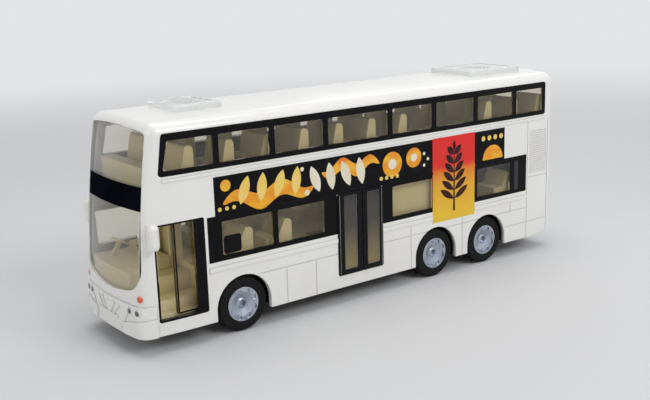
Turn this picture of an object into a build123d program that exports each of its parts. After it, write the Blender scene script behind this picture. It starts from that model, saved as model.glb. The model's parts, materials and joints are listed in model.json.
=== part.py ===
from build123d import *
import math
import os

# A die-cast toy of a tri-axle double decker bus, doors on its left side.
# Millimetres. X forward, Y left, Z up, origin on the floor below the middle of the body.
# Lengths along the body are measured from its front end or rear end, or from the middle.

# Body shell
body_length = 150.0         # from the bumper to the rear face
body_width = 34.0
roof_crown_z = 58.4
roof_edge_drop = 1.1        # how much lower the roof arc meets the sides
skirt_z = 4.8
shell_wall = 1.3
shoulder_radius = 3.2
front_edge_radius = 3.0
rear_edge_radius = 1.6
front_plan_radius = 92.0    # bow of the front face, seen from above
front_lean_radius = 280.0   # the front face leans back along this arc
front_upright_z = 3.0       # height where that arc is upright
side_taper_length = 17.0    # the sides curve inwards over this length at the front
side_taper_radius = 140.0
tail_length = 10.0          # the skirt rises over this length at the rear
tail_rise = 1.5
least_radius = 0.5
overshoot = 2.0             # how far a cutting block reaches past what it cuts
root = 0.1                  # how far a joined block reaches into what carries it

# Bumper, grille and lamps
bumper_proud = 0.3
bumper_top_z = 12.9
bumper_length = 5.4
trim_proud = 0.2            # how far ribs, lamps and the lip stand out of the bumper
lip_inner_y = 7.6
lip_inner_z = 7.7
lip_outer_z = 10.1
grille_ribs = (              # outer y, z, inner y, z
    (10.1, 10.5, 6.8, 6.1),
    (6.2, 11.7, 3.0, 8.7),
    (3.7, 12.0, 1.5, 9.0),
)
rib_width = 0.5
grille_bar_half = 5.4
grille_bar_z = 8.5
lamp_radius = 0.85
lamp_side_insets = (2.6, 5.8)
lamp_z = 11.4
indicator_radius = 0.95
indicator_z = 15.0
indicator_turn = 30.0       # degrees round the corner
corner_setback = 4.8        # middle of the front corner's curve, from the front end and the side
corner_inset = 3.6
rear_trim_proud = 0.4
rear_lamps = ((18.0, 0.95), (15.6, 0.95), (11.9, 1.05))    # z, radius
rear_lamp_side_inset = 2.5
rear_bumper_z = 7.4
rear_bumper_height = 2.2
rear_bumper_side_inset = 2.2

# Side mouldings and panel lines
ridge_proud = 0.2
waist_low_z = 18.1
waist_height = 1.2
rail_low_z = 32.1
rail_height = 0.5
rail_front_x = 52.0
rail_rear_setback = 22.35
ledge_drop = 2.6            # ledge under the upper windows, below their sill
ledge_height = 0.7
ledge_front_setback = 9.0
ledge_rear_setback = 3.7
groove_width = 0.22
groove_depth = 0.12
panel_line_z = 14.8
panel_lines_front_x = 40.0
panel_line_xs = (-13.4, -34.4)
skirt_line_xs = (31.0, 21.3)    # these end at the long line
tail_panel_setback = 11.5
tail_panel_low_z = 10.0
tail_panel_high_z = 24.7
short_line_setback = 19.2
tail_edge_setback = 2.0
louvre_count = 20
louvre_low_z = 26.2
louvre_pitch = 0.7
louvre_height = 0.32
louvre_margin = 0.8
engine_door_half = 11.5
engine_door_low_z = 10.5
engine_door_high_z = 36.0
engine_louvre_half = 8.0
engine_louvre_count = 9
engine_louvre_low_z = 24.5
engine_louvre_pitch = 1.1

# Running gear
wheel_radius = 7.4
tyre_width = 4.6
tyre_face_inset = 0.9       # outer face of a tyre behind the side of the body
tread_edge = 0.6            # bevel between tread and sidewall
sidewall_step = 0.5
hub_radius = 4.6
hub_proud = 0.1
rim_width = 1.1
rim_depth = 0.25
dish_radius = 1.5
dish_depth = 0.8
dimple_radius = 1.0
dimple_depth = 0.5
pocket_count = 8
pocket_radius = 0.8
pocket_depth = 0.35
hub_web = 1.2
seat_gap = 0.02             # between pieces pressed together
axle_radius = 1.0
axle_bearing_gap = 0.08
arch_radius = 8.3
liner_radius = 8.6
liner_wall = 0.7
front_axle_setback = 30.4
rear_axle_setback = 30.1
bogie_spacing = 21.5

# Chassis base
base_floor_z = 5.2
base_thickness = 1.6
base_gap = 0.12
wheel_side_gap = 1.5        # between the back of a tyre and the web that holds its axle
bearing_web = 0.8
snap_slot = 1.7             # mouth of a bearing, narrower than the axle
axle_slot = 3.4
spine_thickness = 1.2
screw_hole_radius = 1.25
screw_boss_radius = 2.6
screw_boss_top_z = 12.0
screw_hole_depth = 5.5
front_screw_x = 24.0
rear_screw_setback = 13.0
chassis_rail_y = 6.4
chassis_rail_width = 0.9
chassis_rail_drop = 0.4
chassis_rail_margin = 3.0
cross_bar_xs = (-8.0, 17.0, 30.0)

# Glazing
glass_gap = 0.08
glass_recess = 0.25
backing = 0.8
backing_gap = 0.05
backing_margin = 0.9
front_margin = 0.2          # backing in front of the entrance and the driver's window
window_corner = 0.6

# Side windows of both decks
upper_head_drop = 5.1       # head of the upper windows below the crown
upper_window_height = 7.5
lower_sill_z = 21.8
lower_head_z = 31.0
pillar = 1.3
upper_front_setback = 10.1
upper_front_slant = 0.8
upper_rear_setback = 4.8
pillar_xs = (50.7, 34.0, 16.8, -5.9, -22.8, -39.9, -57.0)    # middle of each pillar, front to rear
lower_front_pillar = 4.8    # between the entrance and the first lower window
lower_before_door = 4.1
lower_after_door = 3.7
lower_rear_setback = 19.3
driver_rear_inset = 1.3     # rear edge of the driver's window in front of the entrance's rear edge

# Windscreen and rear window
screen_top_drop = 3.1       # top corners of the screen below the crown
screen_top_rise = 1.05
screen_top_inset = 2.15     # from the side of the body at the top corners
screen_waist_inset = 1.6
screen_waist_z = 24.0
screen_foot_z = 17.7        # where the arc of the foot meets the sides
screen_low_z = 15.25
screen_top_corner = 1.6
screen_low_corner = 7.0
screen_depth = 2.5          # how far behind the face the opening and the screen reach
screen_flange = 0.3
rear_window_inset = 4.4
rear_window_corner = 1.2

# Doors, left side
entrance_setback = 6.0
entrance_length = 13.8
entrance_sill_z = 8.2
entrance_head_z = 33.0
entrance_corner = 0.6
entrance_edge = 0.2         # sill and head of the door frame inside the opening
jamb_length = 2.9
leaf_length = 5.3
leaf_foot_rise = 1.0
leaf_recess = 1.0
strip_width = 0.7
centre_door_front_x = 13.7
centre_door_rear_x = -2.5
centre_door_sill_z = 8.3
centre_door_head_z = 31.8
centre_door_proud = 0.3
centre_pane_depth = 0.5
centre_pane_sill_z = 9.7
centre_pane_head_z = 31.0
centre_panes = ((6.6, 11.5), (-1.5, 3.3))    # rear edge, front edge
centre_fold_x = 5.0
centre_fold_width = 0.5

# Decks
deck_plate = 1.0
deck_gap = 0.15
deck_rail = 0.6
deck_rail_height = 1.0
lower_deck_z = 17.6         # underside of the raised floor
entry_floor_z = 8.4         # underside of the floor inside the doors
upper_deck_drop = 22.2      # underside of the upper floor below the crown
upper_deck_setback = 8.4
deck_rear_setback = 4.0
lower_deck_rear_setback = 13.5
shelf_rise = 0.0            # top of the front shelf above the sill of the upper windows
shelf_half = 14.0
shelf_depth = 3.4
shelf_wall = 1.2
well_inner_y = 3.0
well_margin = 1.2
well_wall = 0.8

# Seats
seat_width = 8.6
seat_side_gap = 0.55        # between a seat and the glazing
seat_base = 8.2
seat_height = 4.4
seat_foot_thickness = 4.4
seat_head_thickness = 2.2
seat_head_rear = 1.3
seat_head_front = 0.6
upper_seat_height = 13.8
lower_seat_height = 8.9
upper_seat_pitch = 11.62
upper_first_setback = 19.0  # rear face of the first and the last row
upper_last_setback = 3.2
lower_seat_pitch = 12.3
lower_first_setback = 35.0
lower_last_setback = 16.6

# Staircase, rising to the rear behind the middle door
stair_front_x = -6.4
stair_rear_x = -38.0
stair_wall_drop = 0.6       # top of the stairs' wall below the upper floor
stair_wall_side_gap = 0.15
stair_wall = 0.85
stair_inner_y = 5.6
stair_count = 8
stair_run = 27.0
stair_slab = 1.2
stair_top_gap = 0.3
stairwell_front_x = -15.5
stairwell_side = 1.3

# Entrance steps, driver's partition and cab
step_edge_inset = 4.4
step_depth = 5.15
step_tops = (12.3, 16.8)
step_front_inset = 0.2
partition_drop = 0.8        # top of the driver's partition below the upper floor
partition_y = 2.0
partition_return = 2.4
partition_wall = 1.0
cab_floor_z = 20.0
cab_rear_gap = 0.2
cab_left_gap = 0.25
cab_side_inset = 3.5
cab_wall = 1.0
dash_left_y = 9.0
entry_front_setback = 4.0
driver_y = -8.8
driver_seat_width = 5.6
driver_seat_length = 4.6
driver_cushion = 2.4
driver_seat_height = 9.0
driver_seat_back = 1.6
steering_setback = 9.2
steering_z = 23.6
steering_radius = 2.3
steering_rim = 0.6
steering_thickness = 0.5
steering_tilt = 60.0
steering_column = 1.0

# Mirrors
mirror_setback = 4.9
mirror_out = 1.6
mirror_z = 30.7
mirror_length = 2.6
mirror_width = 2.8
mirror_height = 6.6
mirror_corner = 1.3
mirror_bevel = 0.6
mirror_arm = 1.6
mirror_arm_drop = 0.5
mirror_fit = 0.04

# Roof pods
pod_fit = 0.03
pod_height = 1.5
pod_corner = 1.2
pod_bevel_out = 0.7
pod_bevel_down = 0.45
pod_pool_margin = 1.8
pod_pool_depth = 0.3
pod_grille_length = 5.0
pod_grille_half = 4.0
pod_slat_count = 4
pod_slat = 0.6
front_pod_setback = 18.5
front_pod_length = 14.0
front_pod_width = 15.5
rear_pod_setback = 7.5
rear_pod_length = 21.6
rear_pod_width = 19.4

half_length = body_length / 2
half_width = body_width / 2
front_end = half_length
rear_end = -half_length
inner_y = half_width - shell_wall
backing_outer_y = inner_y - backing_gap
backing_inner_y = backing_outer_y - backing
past_side = half_width + overshoot

rear_axle_x = rear_end + rear_axle_setback
axles = (
    ("front", front_end - front_axle_setback),
    ("middle", rear_axle_x + bogie_spacing),
    ("rear", rear_axle_x),
)
tyre_face_y = half_width - tyre_face_inset
tyre_back_y = tyre_face_y - tyre_width
web_out = tyre_back_y - wheel_side_gap
web_in = web_out - bearing_web
hub_face_y = tyre_face_y + hub_proud
hub_floor_y = hub_face_y - rim_depth - dish_depth

upper_head_z = roof_crown_z - upper_head_drop
upper_sill_z = upper_head_z - upper_window_height
upper_deck_z = roof_crown_z - upper_deck_drop
shelf_top_z = upper_sill_z + shelf_rise
upper_front_x = front_end - upper_front_setback
upper_rear_x = rear_end + upper_rear_setback
entrance_front_x = front_end - entrance_setback
entrance_rear_x = entrance_front_x - entrance_length
entrance_jamb_x = entrance_rear_x + jamb_length
leaf_front_x = entrance_jamb_x + leaf_length
lower_front_x = entrance_rear_x - lower_front_pillar
lower_rear_x = rear_end + lower_rear_setback
tail_panel_x = rear_end + tail_panel_setback

deck_rear_x = rear_end + deck_rear_setback
upper_deck_front_x = front_end - upper_deck_setback
entry_wall_x = entrance_rear_x - deck_gap
seat_outer_y = backing_inner_y - seat_side_gap
door_side_y = backing_inner_y - deck_gap
parts = {}


def box(x0, x1, y0, y1, z0, z1):
    """A block between two corners."""
    centre = ((x0 + x1) / 2, (y0 + y1) / 2, (z0 + z1) / 2)
    return Pos(*centre) * Box(abs(x1 - x0), abs(y1 - y0), abs(z1 - z0))


def both(solid):
    """A solid and its mirror image on the other side of the bus."""
    return solid + solid.mirror(Plane.XZ)


def across(x0, x1, z0, z1):
    """A block right through the bus from side to side."""
    return box(x0, x1, -past_side, past_side, z0, z1)


def side_prism(sketch, y0, y1):
    """A sketch drawn in X and Z, made into a block from y0 to y1."""
    return Pos(0, y1, 0) * extrude(Plane.XZ * sketch, y1 - y0)


def front_prism(sketch, length):
    """A sketch drawn in Y and Z, made into a block from length behind the front end to well past it."""
    return Pos(front_end - length, 0, 0) * extrude(Plane.YZ * sketch, length + overshoot)


def pane_sketch(x0, x1, z0, z1, grow=0.0, radius=window_corner, front_slant=0.0):
    """A window outline, grown by grow all round; its front edge may slant."""
    x0, x1, z0, z1 = x0 - grow, x1 + grow, z0 - grow, z1 + grow
    outline = Polyline((x0, z0), (x1 + front_slant, z0), (x1 - front_slant, z1), (x0, z1), close=True)
    face = make_face(outline)
    return fillet(face.vertices(), max(radius + grow, least_radius / 2))


def bowed(inset):
    """All that lies behind the bowed and leaning front face, moved back by inset."""
    face_x = front_end - bumper_proud - inset
    axis_x = front_end - bumper_proud - front_plan_radius
    lean = front_lean_radius - inset
    top = roof_crown_z + overshoot

    def front_at(z):
        return face_x - lean + math.sqrt(lean ** 2 - (z - front_upright_z) ** 2)

    edges = Polyline((front_at(top), 0, top), (axis_x, 0, top), (axis_x, 0, 0), (front_at(0), 0, 0))
    bow = ThreePointArc((front_at(0), 0, 0), (front_at(top / 2), 0, top / 2), (front_at(top), 0, top))
    return revolve(make_face(edges + bow), Axis((axis_x, 0, 0), (0, 0, 1)), 360)


def body_plan(inset):
    """The body seen from above: straight sides that curve inwards towards the front."""
    side = half_width - inset
    radius = side_taper_radius - inset
    centre_y = half_width - side_taper_radius
    start = front_end - side_taper_length
    reach = side_taper_length + overshoot
    middle_y = centre_y + math.sqrt(radius ** 2 - (reach / 2) ** 2)
    end_y = centre_y + math.sqrt(radius ** 2 - reach ** 2)
    rear_x = rear_end + inset
    lines = Polyline((start, side), (rear_x, side), (rear_x, -side), (start, -side))
    left = ThreePointArc((start, side), (start + reach / 2, middle_y), (start + reach, end_y))
    right = ThreePointArc((start, -side), (start + reach / 2, -middle_y), (start + reach, -end_y))
    return make_face(lines + left + right + Line((start + reach, -end_y), (start + reach, end_y)))


def body_form(inset):
    """The body's outer form moved inwards by inset, running down to the floor."""
    roof_radius = (half_width ** 2 + roof_edge_drop ** 2) / (2 * roof_edge_drop)
    centre_z = roof_crown_z - roof_radius
    radius = roof_radius - inset
    edge = centre_z + math.sqrt(radius ** 2 - past_side ** 2)
    sides = Polyline((past_side, edge), (past_side, 0), (-past_side, 0), (-past_side, edge))
    roof = ThreePointArc((-past_side, edge), (0, roof_crown_z - inset), (past_side, edge))
    section = Plane.YZ * make_face(sides + roof)
    prism = Pos(rear_end - overshoot, 0, 0) * extrude(section, body_length + 2 * overshoot)
    form = prism & extrude(body_plan(inset), roof_crown_z + overshoot)
    shoulder_z = roof_crown_z - inset - 2 * roof_edge_drop
    shoulders = [e for e in form.edges() if abs(e.center().Y) > half_width - inset - shoulder_radius
                 and e.center().Z > shoulder_z and e.length > side_taper_length]
    form = fillet(shoulders, max(shoulder_radius - inset, least_radius))
    rear_half = box(rear_end - overshoot, 0, -past_side, past_side, 0, roof_crown_z + overshoot)
    form = form & (rear_half + bowed(inset))
    front_face = form.faces().sort_by(Axis.X)[-1]
    front_edges = [e for e in front_face.edges() if e.center().Z > 1]
    form = fillet(front_edges, max(front_edge_radius - inset, least_radius))
    rear_face = form.faces().filter_by(Axis.X).sort_by(Axis.X)[0]
    rear_edges = [e for e in rear_face.edges() if e.center().Z > 1]
    return fillet(rear_edges, max(rear_edge_radius - inset, least_radius))


def upper_bays():
    """Openings of the upper deck's side windows: rear edge, front edge, slant of the front edge."""
    edges = [upper_front_x, *pillar_xs, upper_rear_x]
    bays = []
    for i in range(len(edges) - 1):
        front = edges[i] - (pillar / 2 if i else 0)
        rear = edges[i + 1] + (pillar / 2 if i + 2 < len(edges) else 0)
        bays.append((rear, front, 0 if i else upper_front_slant))
    return bays


def lower_bays(side):
    """Openings of the lower deck's side windows: rear edge, front edge, slant."""
    half = pillar / 2
    before_door = centre_door_front_x + lower_before_door
    after_door = centre_door_rear_x - lower_after_door
    last = [(pillar_xs[4] + half, after_door), (pillar_xs[5] + half, pillar_xs[4] - half)]
    last += [(lower_rear_x, pillar_xs[5] - half)]
    first = [(pillar_xs[1] + half, lower_front_x)]
    if side > 0:
        middle = [(before_door, pillar_xs[1] - half)]
    else:
        middle = [(pillar_xs[2] + half, pillar_xs[1] - half), (after_door + pillar, pillar_xs[2] - half)]
        first = [(entrance_rear_x + driver_rear_inset, entrance_front_x)] + first
    return [(rear, front, 0) for rear, front in first + middle + last]


def windows(bays, z0, z1, y0, y1, grow=0.0):
    """Blocks the shape of a row of windows, from y0 to y1."""
    return [side_prism(pane_sketch(rear, front, z0, z1, grow, window_corner, slant), y0, y1)
            for rear, front, slant in bays]


def wheel_arch(x, radius, y0, y1):
    """The space of a wheel arch: round above, straight down below."""
    low_end = (Align.CENTER, Align.CENTER, Align.MIN)
    round_top = Pos(x, y1, wheel_radius) * Rot(90, 0, 0) * Cylinder(radius, y1 - y0, align=low_end)
    return round_top + box(x - radius, x + radius, y0, y1, -overshoot, wheel_radius)


def screen_outline(grow=0.0):
    """The windscreen's outline in Y and Z: bowed top, sides that spread a little, deep rounded foot."""
    top_y = half_width - screen_top_inset + grow
    waist_y = half_width - screen_waist_inset + grow
    top = roof_crown_z - screen_top_drop + grow
    low = screen_low_z - grow
    head = ThreePointArc((-top_y, top), (0, top + screen_top_rise), (top_y, top))
    right = Polyline((top_y, top), (waist_y, screen_waist_z), (waist_y, screen_foot_z))
    foot = ThreePointArc((waist_y, screen_foot_z), (0, low), (-waist_y, screen_foot_z))
    left = Polyline((-waist_y, screen_foot_z), (-waist_y, screen_waist_z), (-top_y, top))
    face = make_face(head + right + foot + left)
    tops = face.vertices().sort_by(Axis.Y)[-2:]
    face = fillet(tops, screen_top_corner + grow)
    feet = face.vertices().sort_by(Axis.Y)[:2]
    return fillet(feet, min(screen_low_corner, screen_waist_z - screen_foot_z - least_radius))


outer = body_form(0)
inner = body_form(shell_wall)
bumper_form = body_form(-bumper_proud)
trim_form = body_form(-bumper_proud - trim_proud)
ridge_form = body_form(-ridge_proud)
glass_form = body_form(glass_recess)
lining_form = body_form(shell_wall + backing_gap)
deck_form = body_form(shell_wall + deck_gap)


def grille_rib(y0, z0, y1, z1):
    """A straight rib across the front, from one point in Y and Z to another."""
    angle = math.degrees(math.atan2(z1 - z0, y1 - y0))
    length = math.hypot(y1 - y0, z1 - z0)
    rib = Pos((y0 + y1) / 2, (z0 + z1) / 2) * Rot(0, 0, angle) * Rectangle(length, rib_width)
    return front_prism(rib, side_taper_length / 2)


def bumper():
    """The bumper's skin, its lower lip at each side, and the slanting ribs of the grille."""
    skin = bumper_form & across(front_end - bumper_length, front_end + overshoot, 0, bumper_top_z)
    lip = make_face(Polyline((lip_inner_y, 0), (past_side, 0), (past_side, lip_outer_z),
                             (lip_inner_y, lip_inner_z), close=True))
    trims = [front_prism(lip, bumper_length)]
    for rib in grille_ribs:
        trims.append(grille_rib(*rib))
    for inset in lamp_side_insets:
        lamp = Pos(half_width - inset, lamp_z) * Circle(lamp_radius)
        trims.append(front_prism(lamp, bumper_length))
    bar = Pos(0, grille_bar_z) * Rectangle(2 * grille_bar_half, rib_width)
    blocks = [front_prism(bar, bumper_length)]
    for trim in trims:
        blocks += [trim, trim.mirror(Plane.XZ)]
    return [skin] + [trim_form & block for block in blocks]


def indicators():
    """Round lamps above the bumper, on the front corners."""
    corner_x = front_end - corner_setback
    corner_y = half_width - corner_inset
    outwards = (Align.CENTER, Align.CENTER, Align.MIN)
    rod = Rot(0, 90, 0) * Cylinder(indicator_radius, body_width / 2, align=outwards)
    rod = Rot(0, 0, indicator_turn) * rod
    lamp = ridge_form & (Pos(corner_x, corner_y, indicator_z) * rod)
    return [lamp, lamp.mirror(Plane.XZ)]


def mouldings():
    """Raised strips along both sides: the waist, the rail over the lower windows, and the upper ledge."""
    ledge_z = upper_sill_z - ledge_drop
    ledge_rear_x = rear_end + ledge_rear_setback
    ledge_front_x = front_end - ledge_front_setback
    strips = [
        across(tail_panel_x, entry_wall_x - deck_rail, waist_low_z, waist_low_z + waist_height),
        across(rear_end + rail_rear_setback, rail_front_x, rail_low_z, rail_low_z + rail_height),
        across(ledge_rear_x, ledge_front_x, ledge_z, ledge_z + ledge_height),
    ]
    return [ridge_form & strip for strip in strips]


def side_lines():
    """Shallow panel lines and louvres cut in both sides."""
    tail_edge_x = rear_end + tail_edge_setback
    ledge_z = upper_sill_z - ledge_drop
    lines = [(tail_panel_x, panel_lines_front_x, panel_line_z, panel_line_z + groove_width),
             (tail_edge_x, rear_axle_x - arch_radius, tail_panel_low_z, tail_panel_low_z + groove_width),
             (tail_edge_x, tail_panel_x, tail_panel_high_z, tail_panel_high_z + groove_width)]
    for x in panel_line_xs:
        lines.append((x, x + groove_width, skirt_z - overshoot, waist_low_z))
    for x in skirt_line_xs:
        lines.append((x, x + groove_width, skirt_z - overshoot, panel_line_z))
    for x in (tail_panel_x, tail_edge_x):
        lines.append((x, x + groove_width, skirt_z - overshoot, ledge_z))
    short_x = rear_end + short_line_setback
    lines.append((short_x, short_x + groove_width, panel_line_z, waist_low_z))
    for i in range(louvre_count):
        z = louvre_low_z + i * louvre_pitch
        lines.append((tail_edge_x + louvre_margin, tail_panel_x - louvre_margin, z, z + louvre_height))
    cuts = []
    for x0, x1, z0, z1 in lines:
        cuts.append(box(x0, x1, half_width - groove_depth, past_side, z0, z1))
        cuts.append(box(x0, x1, -past_side, groove_depth - half_width, z0, z1))
    return cuts


def rear_details():
    """Round lamps and a bumper on the rear face, and the lines and louvres of the engine door cut in it."""
    lamp_y = half_width - rear_lamp_side_inset
    adds = []
    for z, radius in rear_lamps:
        lamp = Pos(rear_end, lamp_y, z) * Rot(0, 90, 0) * Cylinder(radius, 2 * rear_trim_proud)
        adds += [lamp, lamp.mirror(Plane.XZ)]
    half = half_width - rear_bumper_side_inset
    adds.append(box(rear_end - rear_trim_proud, rear_end + root, -half, half, rear_bumper_z,
                    rear_bumper_z + rear_bumper_height))
    x0, x1 = rear_end - overshoot, rear_end + groove_depth
    door = box(x0, x1, -engine_door_half, engine_door_half, engine_door_low_z, engine_door_high_z)
    panel = box(x0, x1, groove_width - engine_door_half, engine_door_half - groove_width,
                engine_door_low_z + groove_width, engine_door_high_z - groove_width)
    cuts = [door - panel]
    for i in range(engine_louvre_count):
        z = engine_louvre_low_z + i * engine_louvre_pitch
        cuts.append(box(x0, x1, -engine_louvre_half, engine_louvre_half, z, z + louvre_height))
    return adds, cuts


def rear_pane(half, grow, x0, x1):
    """A block the shape of the rear window, from x0 to x1."""
    height = upper_head_z - upper_sill_z + 2 * grow
    outline = RectangleRounded(2 * (half + grow), height, rear_window_corner + grow)
    return Pos(x0, 0, (upper_head_z + upper_sill_z) / 2) * extrude(Plane.YZ * outline, x1 - x0)


rear_window_half = half_width - rear_window_inset
screen_zone = bowed(screen_depth)


def shell():
    """The die-cast body: one hollow shell, open below, with its bumper, mouldings and all its openings."""
    rear_adds, rear_cuts = rear_details()
    body = outer + bumper() + indicators() + mouldings() + rear_adds
    tail_rear = rear_end - overshoot
    tail_slope = Polyline((rear_end + tail_length, skirt_z), (tail_rear, skirt_z + tail_rise),
                          (tail_rear, 0), (rear_end + tail_length, 0), close=True)
    start = inner_y - shell_wall
    tools = [inner, across(tail_rear, front_end + overshoot, -overshoot, skirt_z)]
    tools.append(side_prism(make_face(tail_slope), -past_side, past_side))
    tools += side_lines() + rear_cuts
    for name, x in axles:
        arch = wheel_arch(x, arch_radius, start, past_side)
        tools += [arch, arch.mirror(Plane.XZ)]
    for pane in windows(upper_bays(), upper_sill_z, upper_head_z, start, past_side):
        tools += [pane, pane.mirror(Plane.XZ)]
    tools += windows(lower_bays(1), lower_sill_z, lower_head_z, start, past_side)
    tools += windows(lower_bays(-1), lower_sill_z, lower_head_z, -past_side, -start)
    entrance = pane_sketch(entrance_rear_x, entrance_front_x, entrance_sill_z, entrance_head_z,
                           0, entrance_corner)
    tools.append(side_prism(entrance, start, past_side))
    centre = pane_sketch(centre_door_rear_x, centre_door_front_x, centre_door_sill_z, centre_door_head_z)
    tools.append(side_prism(centre, start, past_side))
    tools.append(front_prism(screen_outline(), side_taper_length) - screen_zone)
    tools.append(rear_pane(rear_window_half, 0, rear_end - overshoot, rear_end + overshoot))
    body = body - tools
    rail = box(deck_rear_x, upper_deck_front_x, inner_y - deck_rail, inner_y + root,
               upper_deck_z - deck_rail_height, upper_deck_z)
    return body + both(rail)


def glazing(bays, z0, z1, side, margin=backing_margin):
    """One clear moulding for a row of windows: a strip inside the wall, with raised panes."""
    rear = min(b[0] for b in bays) - backing_margin
    front = max(b[1] for b in bays) + margin
    strip = box(rear, front, backing_inner_y, half_width, z0 - backing_margin, z1 + backing_margin)
    strip = strip & lining_form
    blocks = windows(bays, z0, z1, backing_inner_y + root, half_width, -glass_gap)
    panes = [block & glass_form for block in blocks]
    piece = strip + panes
    return piece if side > 0 else piece.mirror(Plane.XZ)


def centre_door():
    """The middle door: a black panel with two tall sunk panes and a fold, standing a little proud."""
    face_y = half_width + centre_door_proud
    sill, head = centre_door_sill_z, centre_door_head_z
    strip = box(centre_door_rear_x - backing_margin, centre_door_front_x + backing_margin,
                backing_inner_y, backing_outer_y, sill - backing_margin, head + backing_margin)
    outline = pane_sketch(centre_door_rear_x, centre_door_front_x, sill, head, -glass_gap)
    panel = side_prism(outline, backing_outer_y - root, face_y)
    sunk = [side_prism(pane_sketch(rear, front, centre_pane_sill_z, centre_pane_head_z),
                       face_y - centre_pane_depth, past_side) for rear, front in centre_panes]
    fold = box(centre_fold_x - centre_fold_width / 2, centre_fold_x + centre_fold_width / 2,
               face_y - centre_pane_depth, past_side, sill - overshoot, head + overshoot)
    return (strip + panel) - (sunk + [fold])


def entrance_door():
    """The front door: a black jamb, one folded leaf set back, and a clear strip at the front edge."""
    frame_rear = entrance_rear_x - backing_margin
    frame = box(frame_rear, entrance_front_x + front_margin, backing_inner_y, half_width,
                entrance_sill_z - backing_margin, entrance_head_z + backing_margin) & lining_form
    strip_x = entrance_front_x - strip_width
    foot_z = entrance_sill_z + leaf_foot_rise
    low, high = entrance_sill_z + entrance_edge, entrance_head_z - entrance_edge
    way_in = box(leaf_front_x, strip_x, 0, past_side, low, high)
    under_leaf = box(entrance_jamb_x, leaf_front_x + root, 0, past_side, low, foot_z)
    outline = pane_sketch(entrance_rear_x, entrance_front_x, entrance_sill_z, entrance_head_z,
                          -glass_gap, entrance_corner)
    doorway = side_prism(outline, backing_inner_y + root, half_width) & glass_form
    leaf = box(entrance_jamb_x, leaf_front_x, 0, half_width - leaf_recess, 0, roof_crown_z)
    jamb = across(entrance_rear_x, entrance_jamb_x, 0, roof_crown_z)
    strip = across(strip_x, entrance_front_x, 0, roof_crown_z)
    return (frame + (doorway & (jamb + leaf + strip))) - [way_in, under_leaf]


def windscreen():
    """The full-height clear screen: a raised pane in the opening and a flange behind it."""
    inset = shell_wall + backing_gap
    pane = glass_form - body_form(inset + backing / 2)
    pane = pane & front_prism(screen_outline(-glass_gap), side_taper_length)
    flange = lining_form - body_form(inset + backing)
    flange = flange & front_prism(screen_outline(screen_flange), side_taper_length)
    return (pane + flange) - bowed(screen_depth - glass_gap)


def rear_window():
    """The upper deck's rear window: a pane in the opening and a strip inside the wall."""
    x0 = rear_end + shell_wall + backing_gap
    pane = rear_pane(rear_window_half, -glass_gap, rear_end + glass_recess, x0 + root)
    wide = rear_window_half + backing_margin
    low_z = upper_sill_z - backing_margin
    return pane + box(x0, x0 + backing, -wide, wide, low_z, upper_head_z + backing_margin)


def seat_pair(x, floor_z, height):
    """A double seat facing forward, its rear face at x: cushion, wedge-shaped back and rounded head."""
    top = floor_z + height
    foot = floor_z - root
    points = [(x, foot), (x + seat_base, foot), (x + seat_base, floor_z + seat_height),
              (x + seat_foot_thickness, floor_z + seat_height), (x + seat_head_thickness, top), (x, top)]
    face = make_face(Polyline(*points, close=True))
    heads = face.vertices().sort_by(Axis.Y)[-2:].sort_by(Axis.X)
    face = fillet(heads[0], seat_head_rear)
    front_head = face.vertices().sort_by(Axis.Y)[-2:].sort_by(Axis.X)[-1]
    face = fillet(front_head, seat_head_front)
    return side_prism(face, seat_outer_y - seat_width, seat_outer_y)


def seat_rows(first_x, last_x, pitch):
    """Rear faces of evenly spaced rows, front to rear."""
    gaps = max(1, round((first_x - last_x) / pitch))
    return [first_x - i * (first_x - last_x) / gaps for i in range(gaps + 1)]


def deck_seats(xs, floor_z, height, gap_rear_x, gap_front_x):
    """Double seats on both sides of the aisle; the left side has none that reach into one stretch."""
    solids = []
    for x in xs:
        seat = seat_pair(x, floor_z, height)
        solids.append(seat.mirror(Plane.XZ))
        if x > gap_front_x or x + seat_base < gap_rear_x:
            solids.append(seat)
    return solids


def upper_deck():
    """The upper saloon: one moulding of floor with its stairwell, seats and the front shelf."""
    wide = half_width
    top = upper_deck_z + deck_plate
    floor = box(deck_rear_x, upper_deck_front_x, -wide, wide, upper_deck_z, top) & deck_form
    stairwell = box(stair_rear_x, stairwell_front_x, stair_inner_y - deck_gap, inner_y - stairwell_side,
                    upper_deck_z - overshoot, top + overshoot)
    front = upper_deck_front_x
    shelf = box(front - shelf_wall, front, -shelf_half, shelf_half, top - root, shelf_top_z)
    shelf += box(front - shelf_depth, front, -shelf_half, shelf_half, shelf_top_z - deck_plate, shelf_top_z)
    rows = seat_rows(front_end - upper_first_setback, rear_end + upper_last_setback, upper_seat_pitch)
    seats = deck_seats(rows, top, upper_seat_height, stair_rear_x, stairwell_front_x)
    return (floor - stairwell) + shelf + seats


def staircase(floor_top):
    """Stairs that rise to the rear beside a side wall, on a sloping slab."""
    rise = (upper_deck_z - stair_top_gap - floor_top) / stair_count
    going = stair_run / stair_count
    points = [(stair_front_x, floor_top - root)]
    for i in range(stair_count):
        z = floor_top + (i + 1) * rise
        points += [(stair_front_x - i * going, z), (stair_front_x - (i + 1) * going, z)]
    end_x = stair_front_x - stair_run
    points.append((end_x, floor_top + stair_count * rise - stair_slab - rise))
    points.append((stair_front_x - (stair_slab + rise) * going / rise, floor_top - root))
    wall_y = door_side_y - stair_wall_side_gap
    flight = side_prism(make_face(Polyline(*points, close=True)), stair_inner_y, wall_y)
    wall = box(stair_rear_x, stair_front_x, wall_y - stair_wall, wall_y,
               floor_top - root, upper_deck_z - stair_wall_drop)
    return flight + wall


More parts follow.
